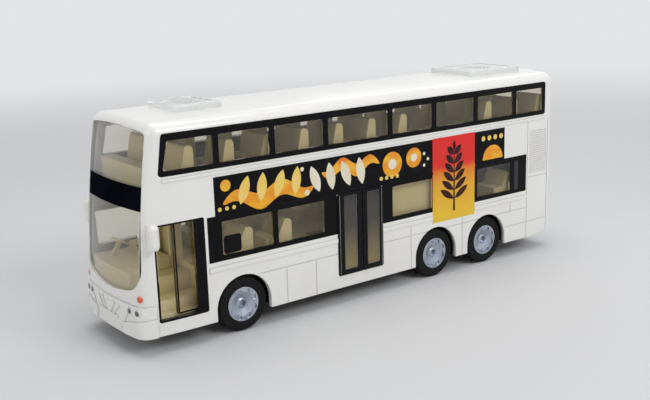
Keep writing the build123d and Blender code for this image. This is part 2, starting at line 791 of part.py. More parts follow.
def entrance_steps():
    """Two treads up from the doors towards the aisle, as one bent sheet."""
    low = entry_floor_z + root
    edge = half_width - step_edge_inset
    points = [(edge, low)]
    for top in step_tops:
        points += [(edge, top), (edge - step_depth, top)]
        edge -= step_depth
    points += [(edge, low), (edge + deck_plate, low), (edge + deck_plate, step_tops[1] - deck_plate)]
    inner_edge = edge + step_depth - deck_plate
    points += [(inner_edge, step_tops[1] - deck_plate), (inner_edge, step_tops[0] - deck_plate)]
    first_edge = half_width - step_edge_inset - deck_plate
    points += [(first_edge, step_tops[0] - deck_plate), (first_edge, low)]
    profile = make_face(Polyline(*points, close=True))
    front = entrance_front_x - step_front_inset
    return Pos(entry_wall_x - root, 0, 0) * extrude(Plane.YZ * profile, front - entry_wall_x + root)


def lower_deck():
    """The lower saloon: raised floor with seats and stairs, the door well and the entrance steps."""
    top = lower_deck_z + deck_plate
    wide = inner_y - deck_gap
    floor = box(rear_end + lower_deck_rear_setback, entry_wall_x, -wide, wide, lower_deck_z, top)
    riser = box(entry_wall_x - deck_plate, entry_wall_x, -wide, door_side_y, entry_floor_z, top)
    plate = box(entry_wall_x - deck_plate, front_end - entry_front_setback, -wide, door_side_y,
                entry_floor_z, entry_floor_z + deck_plate) & body_form(shell_wall + backing + deck_gap)
    well_rear = centre_door_rear_x - backing_margin - well_margin
    well_front = centre_door_front_x + backing_margin + well_margin
    well = box(well_rear - well_wall, well_front + well_wall, well_inner_y - well_wall, door_side_y,
               entry_floor_z, top)
    well_room = box(well_rear, well_front, well_inner_y, past_side,
                    entry_floor_z + deck_plate, top + overshoot)
    piece = floor + riser + plate
    piece -= box(well_rear, well_front, door_side_y, past_side, 0, top + overshoot)
    door_rear = entrance_rear_x - backing_margin - deck_gap
    piece -= box(door_rear, front_end, door_side_y, past_side, 0, top + overshoot)
    piece = piece + well - well_room
    x1 = entry_wall_x
    partition_top_z = upper_deck_z - partition_drop
    bulkhead = box(x1 - partition_wall, x1, -seat_outer_y, partition_y, top - root, partition_top_z)
    wing = box(x1 - root, x1 + partition_return, partition_y - partition_wall, partition_y,
               entry_floor_z + root, partition_top_z)
    rows = seat_rows(front_end - lower_first_setback, rear_end + lower_last_setback, lower_seat_pitch)
    seats = deck_seats(rows, top, lower_seat_height, stair_rear_x, well_front)
    return piece + [entrance_steps(), bulkhead, wing, staircase(top)] + seats


def cab():
    """The driver's platform and dashboard behind the windscreen, with the seat and the steering wheel."""
    room = body_form(shell_wall + backing_gap + backing + deck_gap)
    low = entry_floor_z + deck_plate
    rear_x = entry_wall_x + partition_return + cab_rear_gap
    left_y = half_width - step_edge_inset - 2 * step_depth - cab_left_gap
    right_y = cab_side_inset - half_width
    block = box(rear_x, front_end, right_y, left_y, low, cab_floor_z)
    block += box(entrance_front_x, front_end, right_y, dash_left_y, low, cab_floor_z)
    hollow = box(rear_x + cab_wall, entrance_front_x + cab_wall, right_y + cab_wall, left_y - cab_wall,
                 low - overshoot, cab_floor_z - cab_wall)
    y0, y1 = driver_y - driver_seat_width / 2, driver_y + driver_seat_width / 2
    low = cab_floor_z - root
    seat = box(rear_x, rear_x + driver_seat_length, y0, y1, low, cab_floor_z + driver_cushion)
    seat += box(rear_x, rear_x + driver_seat_back, y0, y1, low, cab_floor_z + driver_seat_height)
    wheel_x = front_end - steering_setback
    hoop = Cylinder(steering_radius, steering_thickness)
    hoop -= Cylinder(steering_radius - steering_rim, steering_thickness + root)
    hoop += Box(steering_rim, 2 * steering_radius - steering_rim, steering_thickness)
    hoop += Pos(0, 0, -steering_z / 2) * Box(steering_column, steering_column, steering_z)
    wheel = Pos(wheel_x, driver_y, steering_z) * Rot(0, steering_tilt - 90, 0) * hoop
    wheel &= box(rear_x, front_end, right_y, left_y, cab_floor_z - root, roof_crown_z)
    return ((block & room) - hollow) + seat + wheel


def chassis_base():
    """The black base: floor plate, wheel housings with snap-in bearings and two screw bosses."""
    top = base_floor_z + base_thickness
    plan = body_form(shell_wall + base_gap)
    piece = plan & across(rear_end, front_end, base_floor_z, top)
    piece -= across(rear_end - overshoot, rear_end + tail_length, 0, base_floor_z + tail_rise)
    middle_x = rear_axle_x + bogie_spacing
    rail_rear = middle_x + liner_radius + chassis_rail_margin
    rail_front = front_end - front_axle_setback - liner_radius - chassis_rail_margin
    rail_low = base_floor_z - chassis_rail_drop
    half = chassis_rail_width / 2
    rails = [box(rail_rear, rail_front, side * chassis_rail_y - half, side * chassis_rail_y + half, rail_low, top)
             for side in (-1, 1)]
    rails += [box(x - half, x + half, -chassis_rail_y, chassis_rail_y, rail_low, top) for x in cross_bar_xs]
    piece = piece + rails
    outer_y = inner_y - base_gap
    tools = []
    walls = []
    for name, x in axles:
        tools.append(box(x - liner_radius, x + liner_radius, web_out, past_side, 0, top + overshoot))
        tools.append(box(x - liner_radius, x + liner_radius, -past_side, -web_out, 0, top + overshoot))
        tools.append(box(x - axle_slot / 2, x + axle_slot / 2, -web_in, web_in, 0, top + overshoot))
        housing = wheel_arch(x, liner_radius + liner_wall, web_in, outer_y)
        housing = housing & across(x - body_width, x + body_width, base_floor_z, roof_crown_z)
        walls.append(housing - wheel_arch(x, liner_radius, web_out, past_side))
        spine = spine_thickness / 2
        spine_top = wheel_radius + screw_boss_radius
        walls.append(box(x - axle_slot, x + axle_slot, -spine, spine, base_floor_z, spine_top))
    piece = piece - tools
    for wall in walls:
        piece = piece + [wall, wall.mirror(Plane.XZ)]
    holes = []
    for name, x in axles:
        length = 2 * web_out + overshoot
        bearing = Rot(90, 0, 0) * Cylinder(axle_radius + axle_bearing_gap, length)
        holes.append(Pos(x, 0, wheel_radius) * bearing)
        holes.append(box(x - snap_slot / 2, x + snap_slot / 2, -length / 2, length / 2, 0, wheel_radius))
    boss_height = screw_boss_top_z - base_floor_z
    for x in (front_screw_x, rear_end + rear_screw_setback):
        boss = Cylinder(screw_boss_radius, boss_height, align=(Align.CENTER, Align.CENTER, Align.MIN))
        piece += Pos(x, 0, base_floor_z) * boss
        holes.append(Pos(x, 0, base_floor_z) * Cylinder(screw_hole_radius, 2 * screw_hole_depth))
    return piece - holes


def tyre(x, side):
    """A rubber tyre with a bevelled outer shoulder, pressed on its hub."""
    inner_r = hub_radius + seat_gap
    step = wheel_radius - sidewall_step
    points = [(inner_r, tyre_back_y), (wheel_radius, tyre_back_y),
              (wheel_radius, tyre_face_y - tread_edge), (step, tyre_face_y), (inner_r, tyre_face_y)]
    solid = revolve(make_face(Polyline(*points, close=True)), Axis((0, 0, 0), (0, 1, 0)), 360)
    solid = Pos(x, 0, wheel_radius) * solid
    return solid if side > 0 else solid.mirror(Plane.XZ)


def hub(x, side):
    """A plated hub cap: a raised rim with a scalloped inner edge, a dished face and a sunk centre."""
    back_y = tyre_back_y + tread_edge
    rim_y = hub_face_y - rim_depth
    bore = axle_radius + seat_gap
    bore_end_y = hub_floor_y - hub_web
    rim_r = hub_radius - rim_width
    points = [(0, hub_floor_y - dimple_depth), (dimple_radius, hub_floor_y - dimple_depth),
              (dimple_radius, hub_floor_y + rim_depth), (dish_radius, hub_floor_y), (rim_r, rim_y),
              (rim_r, hub_face_y), (hub_radius, hub_face_y), (hub_radius, back_y), (bore, back_y),
              (bore, bore_end_y), (0, bore_end_y)]
    solid = revolve(make_face(Polyline(*points, close=True)), Axis((0, 0, 0), (0, 1, 0)), 360)
    upwards = (Align.CENTER, Align.CENTER, Align.MIN)
    pocket = Rot(-90, 0, 0) * Cylinder(pocket_radius, overshoot, align=upwards)
    pockets = []
    for i in range(pocket_count):
        turn = math.radians(360 / pocket_count * (i + 0.5))
        place = Pos(rim_r * math.sin(turn), hub_face_y - pocket_depth, rim_r * math.cos(turn))
        pockets.append(place * pocket)
    solid = Pos(x, 0, wheel_radius) * (solid - pockets)
    return solid if side > 0 else solid.mirror(Plane.XZ)


def axle_rod(x):
    """The steel rod through both hubs."""
    reach = hub_floor_y - hub_web - seat_gap
    return Pos(x, 0, wheel_radius) * Rot(90, 0, 0) * Cylinder(axle_radius, 2 * reach)


def roof_pod(rear, front, width):
    """A clear air-conditioning pod on the crown of the roof, with a slatted grille in its sunk top."""
    top_z = roof_crown_z + pod_height
    half = width / 2
    block = box(rear, front, -half, half, roof_crown_z - pod_height, top_z)
    corners = block.edges().filter_by(Axis.Z)
    block = fillet(corners, pod_corner)
    rim = block.faces().sort_by(Axis.Z)[-1].edges()
    block = chamfer(rim, pod_bevel_down, pod_bevel_out)
    margin = pod_pool_margin
    pool = box(rear + margin, front - margin, margin - half, half - margin,
               top_z - pod_pool_depth, top_z + overshoot)
    block = block - pool
    middle = (rear + front) / 2
    start = middle - pod_grille_length / 2
    for i in range(pod_slat_count):
        x = start + i * (pod_grille_length - pod_slat) / (pod_slat_count - 1)
        block += box(x, x + pod_slat, -pod_grille_half, pod_grille_half, top_z - 2 * pod_pool_depth, top_z)
    return block - body_form(-pod_fit)


def mirror(side):
    """A chunky mirror with a rounded head on a short arm at the front corner."""
    x = front_end - mirror_setback
    y = half_width + mirror_out
    outline = RectangleRounded(mirror_width, mirror_height, mirror_corner)
    head = Pos(x - mirror_length / 2, y, mirror_z) * extrude(Plane.YZ * outline, mirror_length)
    rims = head.faces().filter_by(Axis.X).edges()
    head = chamfer(rims, mirror_bevel)
    arm_top = mirror_z + mirror_height / 2 - mirror_arm_drop
    inner_end = half_width - front_edge_radius
    arm = box(x - mirror_length / 3, x + mirror_length / 4, inner_end, y, arm_top - mirror_arm, arm_top)
    piece = (head + arm) - body_form(-mirror_fit)
    return piece if side > 0 else piece.mirror(Plane.XZ)


parts["body_shell"] = shell()
parts["windscreen"] = windscreen()
parts["rear_window"] = rear_window()
parts["upper_glazing_left"] = glazing(upper_bays(), upper_sill_z, upper_head_z, 1)
parts["upper_glazing_right"] = glazing(upper_bays(), upper_sill_z, upper_head_z, -1)
left_bays = lower_bays(1)
parts["lower_glazing_front_left"] = glazing(left_bays[:2], lower_sill_z, lower_head_z, 1)
parts["lower_glazing_rear_left"] = glazing(left_bays[2:], lower_sill_z, lower_head_z, 1)
right_bays = lower_bays(-1)
parts["driver_window"] = glazing(right_bays[:1], lower_sill_z, lower_head_z, -1, front_margin)
parts["lower_glazing_right"] = glazing(right_bays[1:], lower_sill_z, lower_head_z, -1)
parts["centre_door"] = centre_door()
parts["entrance_door"] = entrance_door()
parts["upper_deck"] = upper_deck()
parts["lower_deck"] = lower_deck()
parts["cab"] = cab()
parts["chassis_base"] = chassis_base()
front_pod_front = front_end - front_pod_setback
rear_pod_rear = rear_end + rear_pod_setback
parts["roof_pod_front"] = roof_pod(front_pod_front - front_pod_length, front_pod_front, front_pod_width)
parts["roof_pod_rear"] = roof_pod(rear_pod_rear, rear_pod_rear + rear_pod_length, rear_pod_width)
for label, side in (("left", 1), ("right", -1)):
    parts[f"mirror_{label}"] = mirror(side)
for name, x in axles:
    parts[f"axle_{name}"] = axle_rod(x)
    for label, side in (("left", 1), ("right", -1)):
        parts[f"hub_{name}_{label}"] = hub(x, side)
        parts[f"tyre_{name}_{label}"] = tyre(x, side)

os.makedirs("parts", exist_ok=True)
for name, solid in parts.items():
    export_step(solid, f"parts/{name}.step")
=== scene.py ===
import json
import math
import bmesh
import bpy
from mathutils import Matrix, Vector
from mathutils.bvhtree import BVHTree


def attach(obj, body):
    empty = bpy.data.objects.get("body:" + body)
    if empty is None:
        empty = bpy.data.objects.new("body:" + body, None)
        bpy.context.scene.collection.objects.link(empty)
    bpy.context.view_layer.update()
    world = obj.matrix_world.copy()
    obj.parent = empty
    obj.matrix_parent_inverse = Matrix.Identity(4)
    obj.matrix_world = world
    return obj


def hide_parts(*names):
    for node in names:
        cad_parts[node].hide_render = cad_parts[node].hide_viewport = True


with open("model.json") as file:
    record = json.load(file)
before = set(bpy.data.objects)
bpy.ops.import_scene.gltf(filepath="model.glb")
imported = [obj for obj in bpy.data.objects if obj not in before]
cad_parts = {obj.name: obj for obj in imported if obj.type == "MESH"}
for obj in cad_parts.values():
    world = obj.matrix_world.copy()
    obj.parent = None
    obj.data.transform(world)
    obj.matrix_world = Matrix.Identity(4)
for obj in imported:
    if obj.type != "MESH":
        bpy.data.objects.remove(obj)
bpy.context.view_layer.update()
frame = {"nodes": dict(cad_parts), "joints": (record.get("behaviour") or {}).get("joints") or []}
nodes = frame["nodes"]

# Lengths of shapes are millimetres in the bus's own frame: X forward, Y left, Z up.
# Lengths in the materials are metres.
mm = 0.001
sides = (("left", 1), ("right", -1))     # with the sign of Y
axles = ("front", "middle", "rear")

camera = {
    "place": (165.5, 217.0, 91.0),
    "yaw": -126.457, "pitch": -13.567, "roll": 1.7405,     # degrees
    "focalPixels": 943.5,
    "framePixels": 650.0,        # width of the frame
    "sensor": 36.0,
    "clipStart": 5.0,
}
studio = {
    "floorHalf": 6000.0,
    "floorFade": (0.2, 0.65),    # metres from the bus, where the lit floor gives way to an even one
    "floorColour": "#dcdddf",
    "floorRoughness": 0.9,
    "floorGrain": 900.0,
    "floorBump": 0.00002,
    "farFloor": "#e3e4e6",
    "ambient": 0.36,
    "lamps": (                   # name, place, aim, width, height, watts
        ("topSoftbox", (-40.0, -20.0, 560.0), (0.0, 0.0, 30.0), 560.0, 360.0, 1.3),
        ("sideFill", (-120.0, 520.0, 420.0), (0.0, 0.0, 25.0), 380.0, 220.0, 1.3),
        ("frontFill", (560.0, 60.0, 240.0), (60.0, 0.0, 28.0), 260.0, 260.0, 0.42),
        ("backRim", (-420.0, -340.0, 330.0), (0.0, 0.0, 40.0), 300.0, 200.0, 0.2),
    ),
}
form = {                         # the outer form of the body shell
    "halfWidth": 17.0,
    "taperStart": 58.0,          # the sides curve inwards from here to the front
    "taperRadius": 140.0,
    "faceX": 74.7,               # the front face where it is upright
    "uprightZ": 3.0,
    "leanRadius": 280.0,
    "bowRadius": 92.0,           # bow of the front face, seen from above
    "rearX": -75.0,
    "crownZ": 58.4,
    "roofRadius": 131.9,         # arc of the roof across the bus
    "wall": 1.3,
    "glassRecess": 0.25,
}
mouldings = (                    # raised strips on the sides: rear x, front x, low z, high z, proud
    (-63.5, 54.45, 18.1, 19.3, 0.2),
    (-52.65, 52.0, 32.1, 32.6, 0.2),
    (-71.3, 66.0, 43.2, 43.9, 0.2),
)
prints = {                       # thin closed plates that stand for what is printed on the toy, and on the centre door for painted light and shade
    "thick": 0.03,
    "inkThick": 0.02,
    "gap": 0.002,                # between a print and what it lies on
    "ramp": 0.03,                # way along which a print climbs a moulding
    "slack": 0.002,              # a point this far past a moulding's edge still lies on it
    "bends": (59.0, 60.5, 62.0, 63.5, 65.0, 66.5, 68.0),   # cut here, to follow the curve of the sides
    "weld": 1e-4,
    "cutSlack": 1e-5,
}


# Small helpers: colours, places on the body, outlines and printed plates

def linear(hexColour):           # a screen colour in the shader's own numbers
    levels = [int(hexColour[i:i + 2], 16) / 255 for i in (1, 3, 5)]
    return tuple(c / 12.92 if c <= 0.04045 else ((c + 0.055) / 1.055) ** 2.4 for c in levels) + (1.0,)


def sideY(x):
    past = max(0.0, x - form["taperStart"])
    return form["halfWidth"] - past ** 2 / (2 * form["taperRadius"])


def faceX(y, z):
    lean = form["leanRadius"]
    upright = form["faceX"] - lean + math.sqrt(lean ** 2 - (z - form["uprightZ"]) ** 2)
    return upright - y ** 2 / (2 * form["bowRadius"])


def mouldingLift(x, z):
    slack = prints["slack"]
    for rear, front, low, high, proud in mouldings:
        if rear - slack <= x <= front + slack and low - slack <= z <= high + slack:
            return proud
    return 0.0


def rounded(corners, radius, steps=5):   # an outline with each corner turned into an arc
    points = []
    for i, corner in enumerate(corners):
        here = Vector(corner)
        back = (Vector(corners[i - 1]) - here).normalized()
        ahead = (Vector(corners[(i + 1) % len(corners)]) - here).normalized()
        half = back.angle(ahead) / 2
        centre = here + (back + ahead).normalized() * (radius / math.sin(half))
        start = here + back * (radius / math.tan(half)) - centre
        end = here + ahead * (radius / math.tan(half)) - centre
        points += [tuple(centre + radius * start.slerp(end, s / steps)) for s in range(steps + 1)]
    return points


def oblong(x0, x1, z0, z1, radius=0.0):
    corners = [(x0, z0), (x1, z0), (x1, z1), (x0, z1)]
    return rounded(corners, radius) if radius > 0 else corners


def oblongOf(spec, inset=0.0):
    return oblong(spec["rear"] + inset, spec["front"] - inset, spec["low"] + inset, spec["high"] - inset,
                  spec.get("corner", 0.0))


def disc(x, z, radius, steps=36, sweep=360.0):
    full = sweep == 360.0
    turns = [math.radians(sweep * i / steps) for i in range(steps if full else steps + 1)]
    return [(x + radius * math.cos(t), z + radius * math.sin(t)) for t in turns]


def petal(x, z, length, width, turn, steps=12):   # a leaf between two arcs, standing on its tip
    half = length / 2
    sag = width / 2
    radius = (half ** 2 + sag ** 2) / (2 * sag)
    reach = math.asin(half / radius)
    side = [(radius * math.cos(a) - radius + sag, radius * math.sin(a))
            for a in (reach * (2 * i / steps - 1) for i in range(steps + 1))]
    points = side + [(-u, -v) for u, v in side[1:-1]]
    c, s = math.cos(math.radians(turn)), math.sin(math.radians(turn))
    return [(x + u * c - v * s, z + u * s + v * c) for u, v in points]


def wave(x0, x1, middle, swing, pitch, thick, phase=0.0, steps=60, tip=0.02):   # a ribbon with thin ends
    upper, lower = [], []
    for i in range(steps + 1):
        share = i / steps
        x = x0 + (x1 - x0) * share
        z = middle + swing * math.sin(2 * math.pi * (x / pitch + phase))
        half = thick / 2 * math.sin(math.pi * share) ** 0.5 + tip
        upper.append((x, z + half))
        lower.append((x, z - half))
    return upper + lower[::-1]


def plate(loops, thickness):     # a flat closed plate in X and Y from outlines, the inner ones as holes
    curve = bpy.data.curves.new("outline", "CURVE")
    curve.dimensions = "2D"
    curve.fill_mode = "BOTH"
    curve.extrude = thickness / 2
    for loop in loops:
        spline = curve.splines.new("POLY")
        spline.points.add(len(loop) - 1)
        for point, (u, v) in zip(spline.points, loop):
            point.co = (u, v, 0, 1)
        spline.use_cyclic_u = True
    holder = bpy.data.objects.new("outline", curve)
    mesh = bpy.data.meshes.new_from_object(holder)
    shape = bmesh.new()
    shape.from_mesh(mesh)
    bpy.data.objects.remove(holder)
    bpy.data.curves.remove(curve)
    bpy.data.meshes.remove(mesh)
    bmesh.ops.remove_doubles(shape, verts=shape.verts, dist=prints["weld"])
    return shape


def merged(shapes):
    whole = bmesh.new()
    for shape in shapes:
        part = bpy.data.meshes.new("part")
        shape.to_mesh(part)
        shape.free()
        whole.from_mesh(part)
        bpy.data.meshes.remove(part)
    return whole


def plates(islands, thickness):
    return merged([plate(loops, thickness) for loops in islands])


def cutAlong(shape, axis, places, slack=prints["cutSlack"], **clear):    # an edge loop at each place
    for place in places:
        point, normal = [0, 0, 0], [0, 0, 0]
        point[axis], normal[axis] = place, 1
        geometry = shape.verts[:] + shape.edges[:] + shape.faces[:]
        bmesh.ops.bisect_plane(shape, geom=geometry, dist=slack, plane_co=point, plane_no=normal, **clear)


def putPoints(shape, where):     # from millimetres on a flat plate to metres on the bus
    for v in shape.verts:
        v.co = [c * mm for c in where(*v.co)]
    return shape


def sidePrint(islands, side, lift, thickness=prints["thick"], follow=True):   # on the curved sides
    shape = plates(islands, thickness)
    ramp = prints["ramp"]
    xs, zs = list(prints["bends"]), []
    if follow:
        for rear, front, low, high, proud in mouldings:
            xs += [rear - ramp, rear, front, front + ramp]
            zs += [low - ramp, low, high, high + ramp]
    cutAlong(shape, 0, xs)
    cutAlong(shape, 1, zs)

    def where(x, z, depth):
        proud = mouldingLift(x, z) if follow else 0.0
        return x, side * (sideY(x) + proud + lift + thickness / 2 + depth), z
    return putPoints(shape, where)


def flatPlate(islands, y, thickness):    # upright, with its back at one y
    return putPoints(plates(islands, thickness), lambda x, z, depth: (x, y + thickness / 2 + depth, z))


def addPiece(name, shape, material, rideOn="root", smoothAngle=None):
    bmesh.ops.recalc_face_normals(shape, faces=shape.faces)
    mesh = bpy.data.meshes.new(name)
    shape.to_mesh(mesh)
    shape.free()
    mesh.materials.append(material)
    if smoothAngle is not None:
        mesh.shade_smooth()
        mesh.set_sharp_from_angle(angle=math.radians(smoothAngle))
    piece = bpy.data.objects.new(name, mesh)
    bpy.context.scene.collection.objects.link(piece)
    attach(piece, rideOn)
    return piece


print("stage: helpers ready")


# Shader helpers

def addNode(tree, kind, **settings):
    node = tree.nodes.new(kind)
    for key, value in settings.items():
        setattr(node, key, value)
    return node


def feed(tree, value, socket):   # a number or colour is set, another node's output is linked
    if isinstance(value, (int, float, tuple)):
        socket.default_value = value
    else:
        tree.links.new(value, socket)


def maths(tree, operation, a, b, clamp=False):
    node = addNode(tree, "ShaderNodeMath", operation=operation, use_clamp=clamp)
    feed(tree, a, node.inputs[0])
    feed(tree, b, node.inputs[1])
    return node.outputs[0]


def vectorMaths(tree, operation, values, result):
    node = addNode(tree, "ShaderNodeVectorMath", operation=operation)
    for value, socket in zip(values, node.inputs):
        feed(tree, value, socket)
    return node.outputs[result]


def objectPlace(tree):
    return addNode(tree, "ShaderNodeTexCoord").outputs["Object"]


def surfaceNormal(tree):
    return addNode(tree, "ShaderNodeNewGeometry").outputs["Normal"]


def axesOf(tree, vector):
    node = addNode(tree, "ShaderNodeSeparateXYZ")
    tree.links.new(vector, node.inputs[0])
    return node.outputs


def noiseAt(tree, place, scale, detail):
    node = addNode(tree, "ShaderNodeTexNoise")
    for key, value in (("Vector", place), ("Scale", scale), ("Detail", detail)):
        feed(tree, value, node.inputs[key])
    return node.outputs["Fac"]


def blend(tree, mask, first, second):    # colours or sockets, by a mask
    node = addNode(tree, "ShaderNodeMix", data_type="RGBA")
    for value, socket in ((mask, node.inputs["Factor"]), (first, node.inputs[6]), (second, node.inputs[7])):
        feed(tree, value, socket)
    return node.outputs[2]


def span(tree, value, low, high, fromLow=0.0, fromHigh=1.0):
    node = addNode(tree, "ShaderNodeMapRange")
    tree.links.new(value, node.inputs["Value"])
    for key, number in (("From Min", fromLow), ("From Max", fromHigh), ("To Min", low), ("To Max", high)):
        node.inputs[key].default_value = number
    return node.outputs["Result"]


def bump(tree, shader, height, distance):
    node = addNode(tree, "ShaderNodeBump")
    node.inputs["Strength"].default_value = 1.0
    node.inputs["Distance"].default_value = distance
    tree.links.new(height, node.inputs["Height"])
    tree.links.new(node.outputs[0], shader.inputs["Normal"])


def mixOut(tree, mask, first, second):   # two shaders by a mask, into the tree's output
    mixer = addNode(tree, "ShaderNodeMixShader")
    for value, socket in zip((mask, first, second), mixer.inputs):
        tree.links.new(value, socket)
    output = next(node for node in tree.nodes if node.type.startswith("OUTPUT"))
    tree.links.new(mixer.outputs[0], output.inputs["Surface"])


def newMaterial(name):
    material = bpy.data.materials.new(name)
    material.use_nodes = True
    tree = material.node_tree
    tree.nodes.clear()
    shader = addNode(tree, "ShaderNodeBsdfPrincipled")
    output = addNode(tree, "ShaderNodeOutputMaterial")
    tree.links.new(shader.outputs[0], output.inputs["Surface"])
    return material, tree, shader


# Shared effects, as node groups

effects = {
    "fineDetail": 3.0, "coarseDetail": 2.0,
    "drift": (0.3, 0.7),         # the part of the slow noise that is used
    "bevelSamples": 4, "edgeGain": 6.0,
    "rubScale": 420.0, "rubDetail": 4.0, "rubFrom": 0.42, "rubGain": 5.0,   # breaks up the worn edges
    "cornerSamples": 6,
    "dustScale": 180.0, "dustDetail": 6.0,
}


def effect(name, inputs, outputs):
    group = bpy.data.node_groups.new(name, "ShaderNodeTree")
    for label, value in inputs:
        socket = group.interface.new_socket(label, in_out="INPUT", socket_type="NodeSocketFloat")
        socket.default_value = value
    for label in outputs:
        group.interface.new_socket(label, in_out="OUTPUT", socket_type="NodeSocketFloat")
    return group, group.nodes.new("NodeGroupInput"), group.nodes.new("NodeGroupOutput")


def useEffect(tree, group, **values):
    node = addNode(tree, "ShaderNodeGroup", node_tree=group)
    for key, value in values.items():
        node.inputs[key].default_value = value
    return node


def makeGrain():                 # fine surface grain and a slow drift of tone
    group, start, end = effect("surfaceGrain", (("Fine", 2500.0), ("Coarse", 60.0)), ("Height", "Drift"))
    place = objectPlace(group)
    for label, detail, target in (("Fine", "fineDetail", "Height"), ("Coarse", "coarseDetail", "Drift")):
        noise = noiseAt(group, place, start.outputs[label], effects[detail])
        group.links.new(noise, end.inputs[target])
    return group


def makeEdgeWear():              # 1 along rubbed edges, broken up by noise
    group, start, end = effect("edgeWear", (("Reach", 0.0003), ("Amount", 0.5)), ("Mask",))
    bevel = addNode(group, "ShaderNodeBevel", samples=effects["bevelSamples"])
    group.links.new(start.outputs["Reach"], bevel.inputs["Radius"])
    flat = vectorMaths(group, "DOT_PRODUCT", (bevel.outputs[0], surfaceNormal(group)), "Value")
    sharp = maths(group, "MULTIPLY", maths(group, "SUBTRACT", 1.0, flat, True), effects["edgeGain"], True)
    noise = noiseAt(group, objectPlace(group), effects["rubScale"], effects["rubDetail"])
    spread = maths(group, "SUBTRACT", noise, effects["rubFrom"], True)
    spread = maths(group, "MULTIPLY", spread, effects["rubGain"], True)
    mask = maths(group, "MULTIPLY", maths(group, "MULTIPLY", sharp, spread), start.outputs["Amount"], True)
    group.links.new(mask, end.inputs["Mask"])
    return group


def makeDustAndShade():                  # 1 in corners and hollows, found by occlusion, and a little on faces that look up; on light finishes the darker corner colour is painted shade, on dark ones it is pale dust
    group, start, end = effect("dustAndShade", (("Reach", 0.0012), ("Corners", 0.5), ("Tops", 0.1)), ("Mask",))
    corners = addNode(group, "ShaderNodeAmbientOcclusion", samples=effects["cornerSamples"],
                      only_local=True)
    group.links.new(start.outputs["Reach"], corners.inputs["Distance"])
    # occlusion term: darkens corners, creases and hollows, painted shade wherever its colour is darker than
    # the finish
    deep = maths(group, "SUBTRACT", 1.0, corners.outputs["AO"], True)
    deep = maths(group, "MULTIPLY", deep, start.outputs["Corners"], True)
    up = axesOf(group, surfaceNormal(group))["Z"]
    noise = noiseAt(group, objectPlace(group), effects["dustScale"], effects["dustDetail"])
    top = maths(group, "MULTIPLY", maths(group, "MULTIPLY", up, noise, True), start.outputs["Tops"], True)
    group.links.new(maths(group, "MAXIMUM", deep, top), end.inputs["Mask"])
    return group


grainGroup = makeGrain()
wearGroup = makeEdgeWear()
dustAndShadeGroup = makeDustAndShade()


# Plain finishes: prints, mouldings, rubber and metal

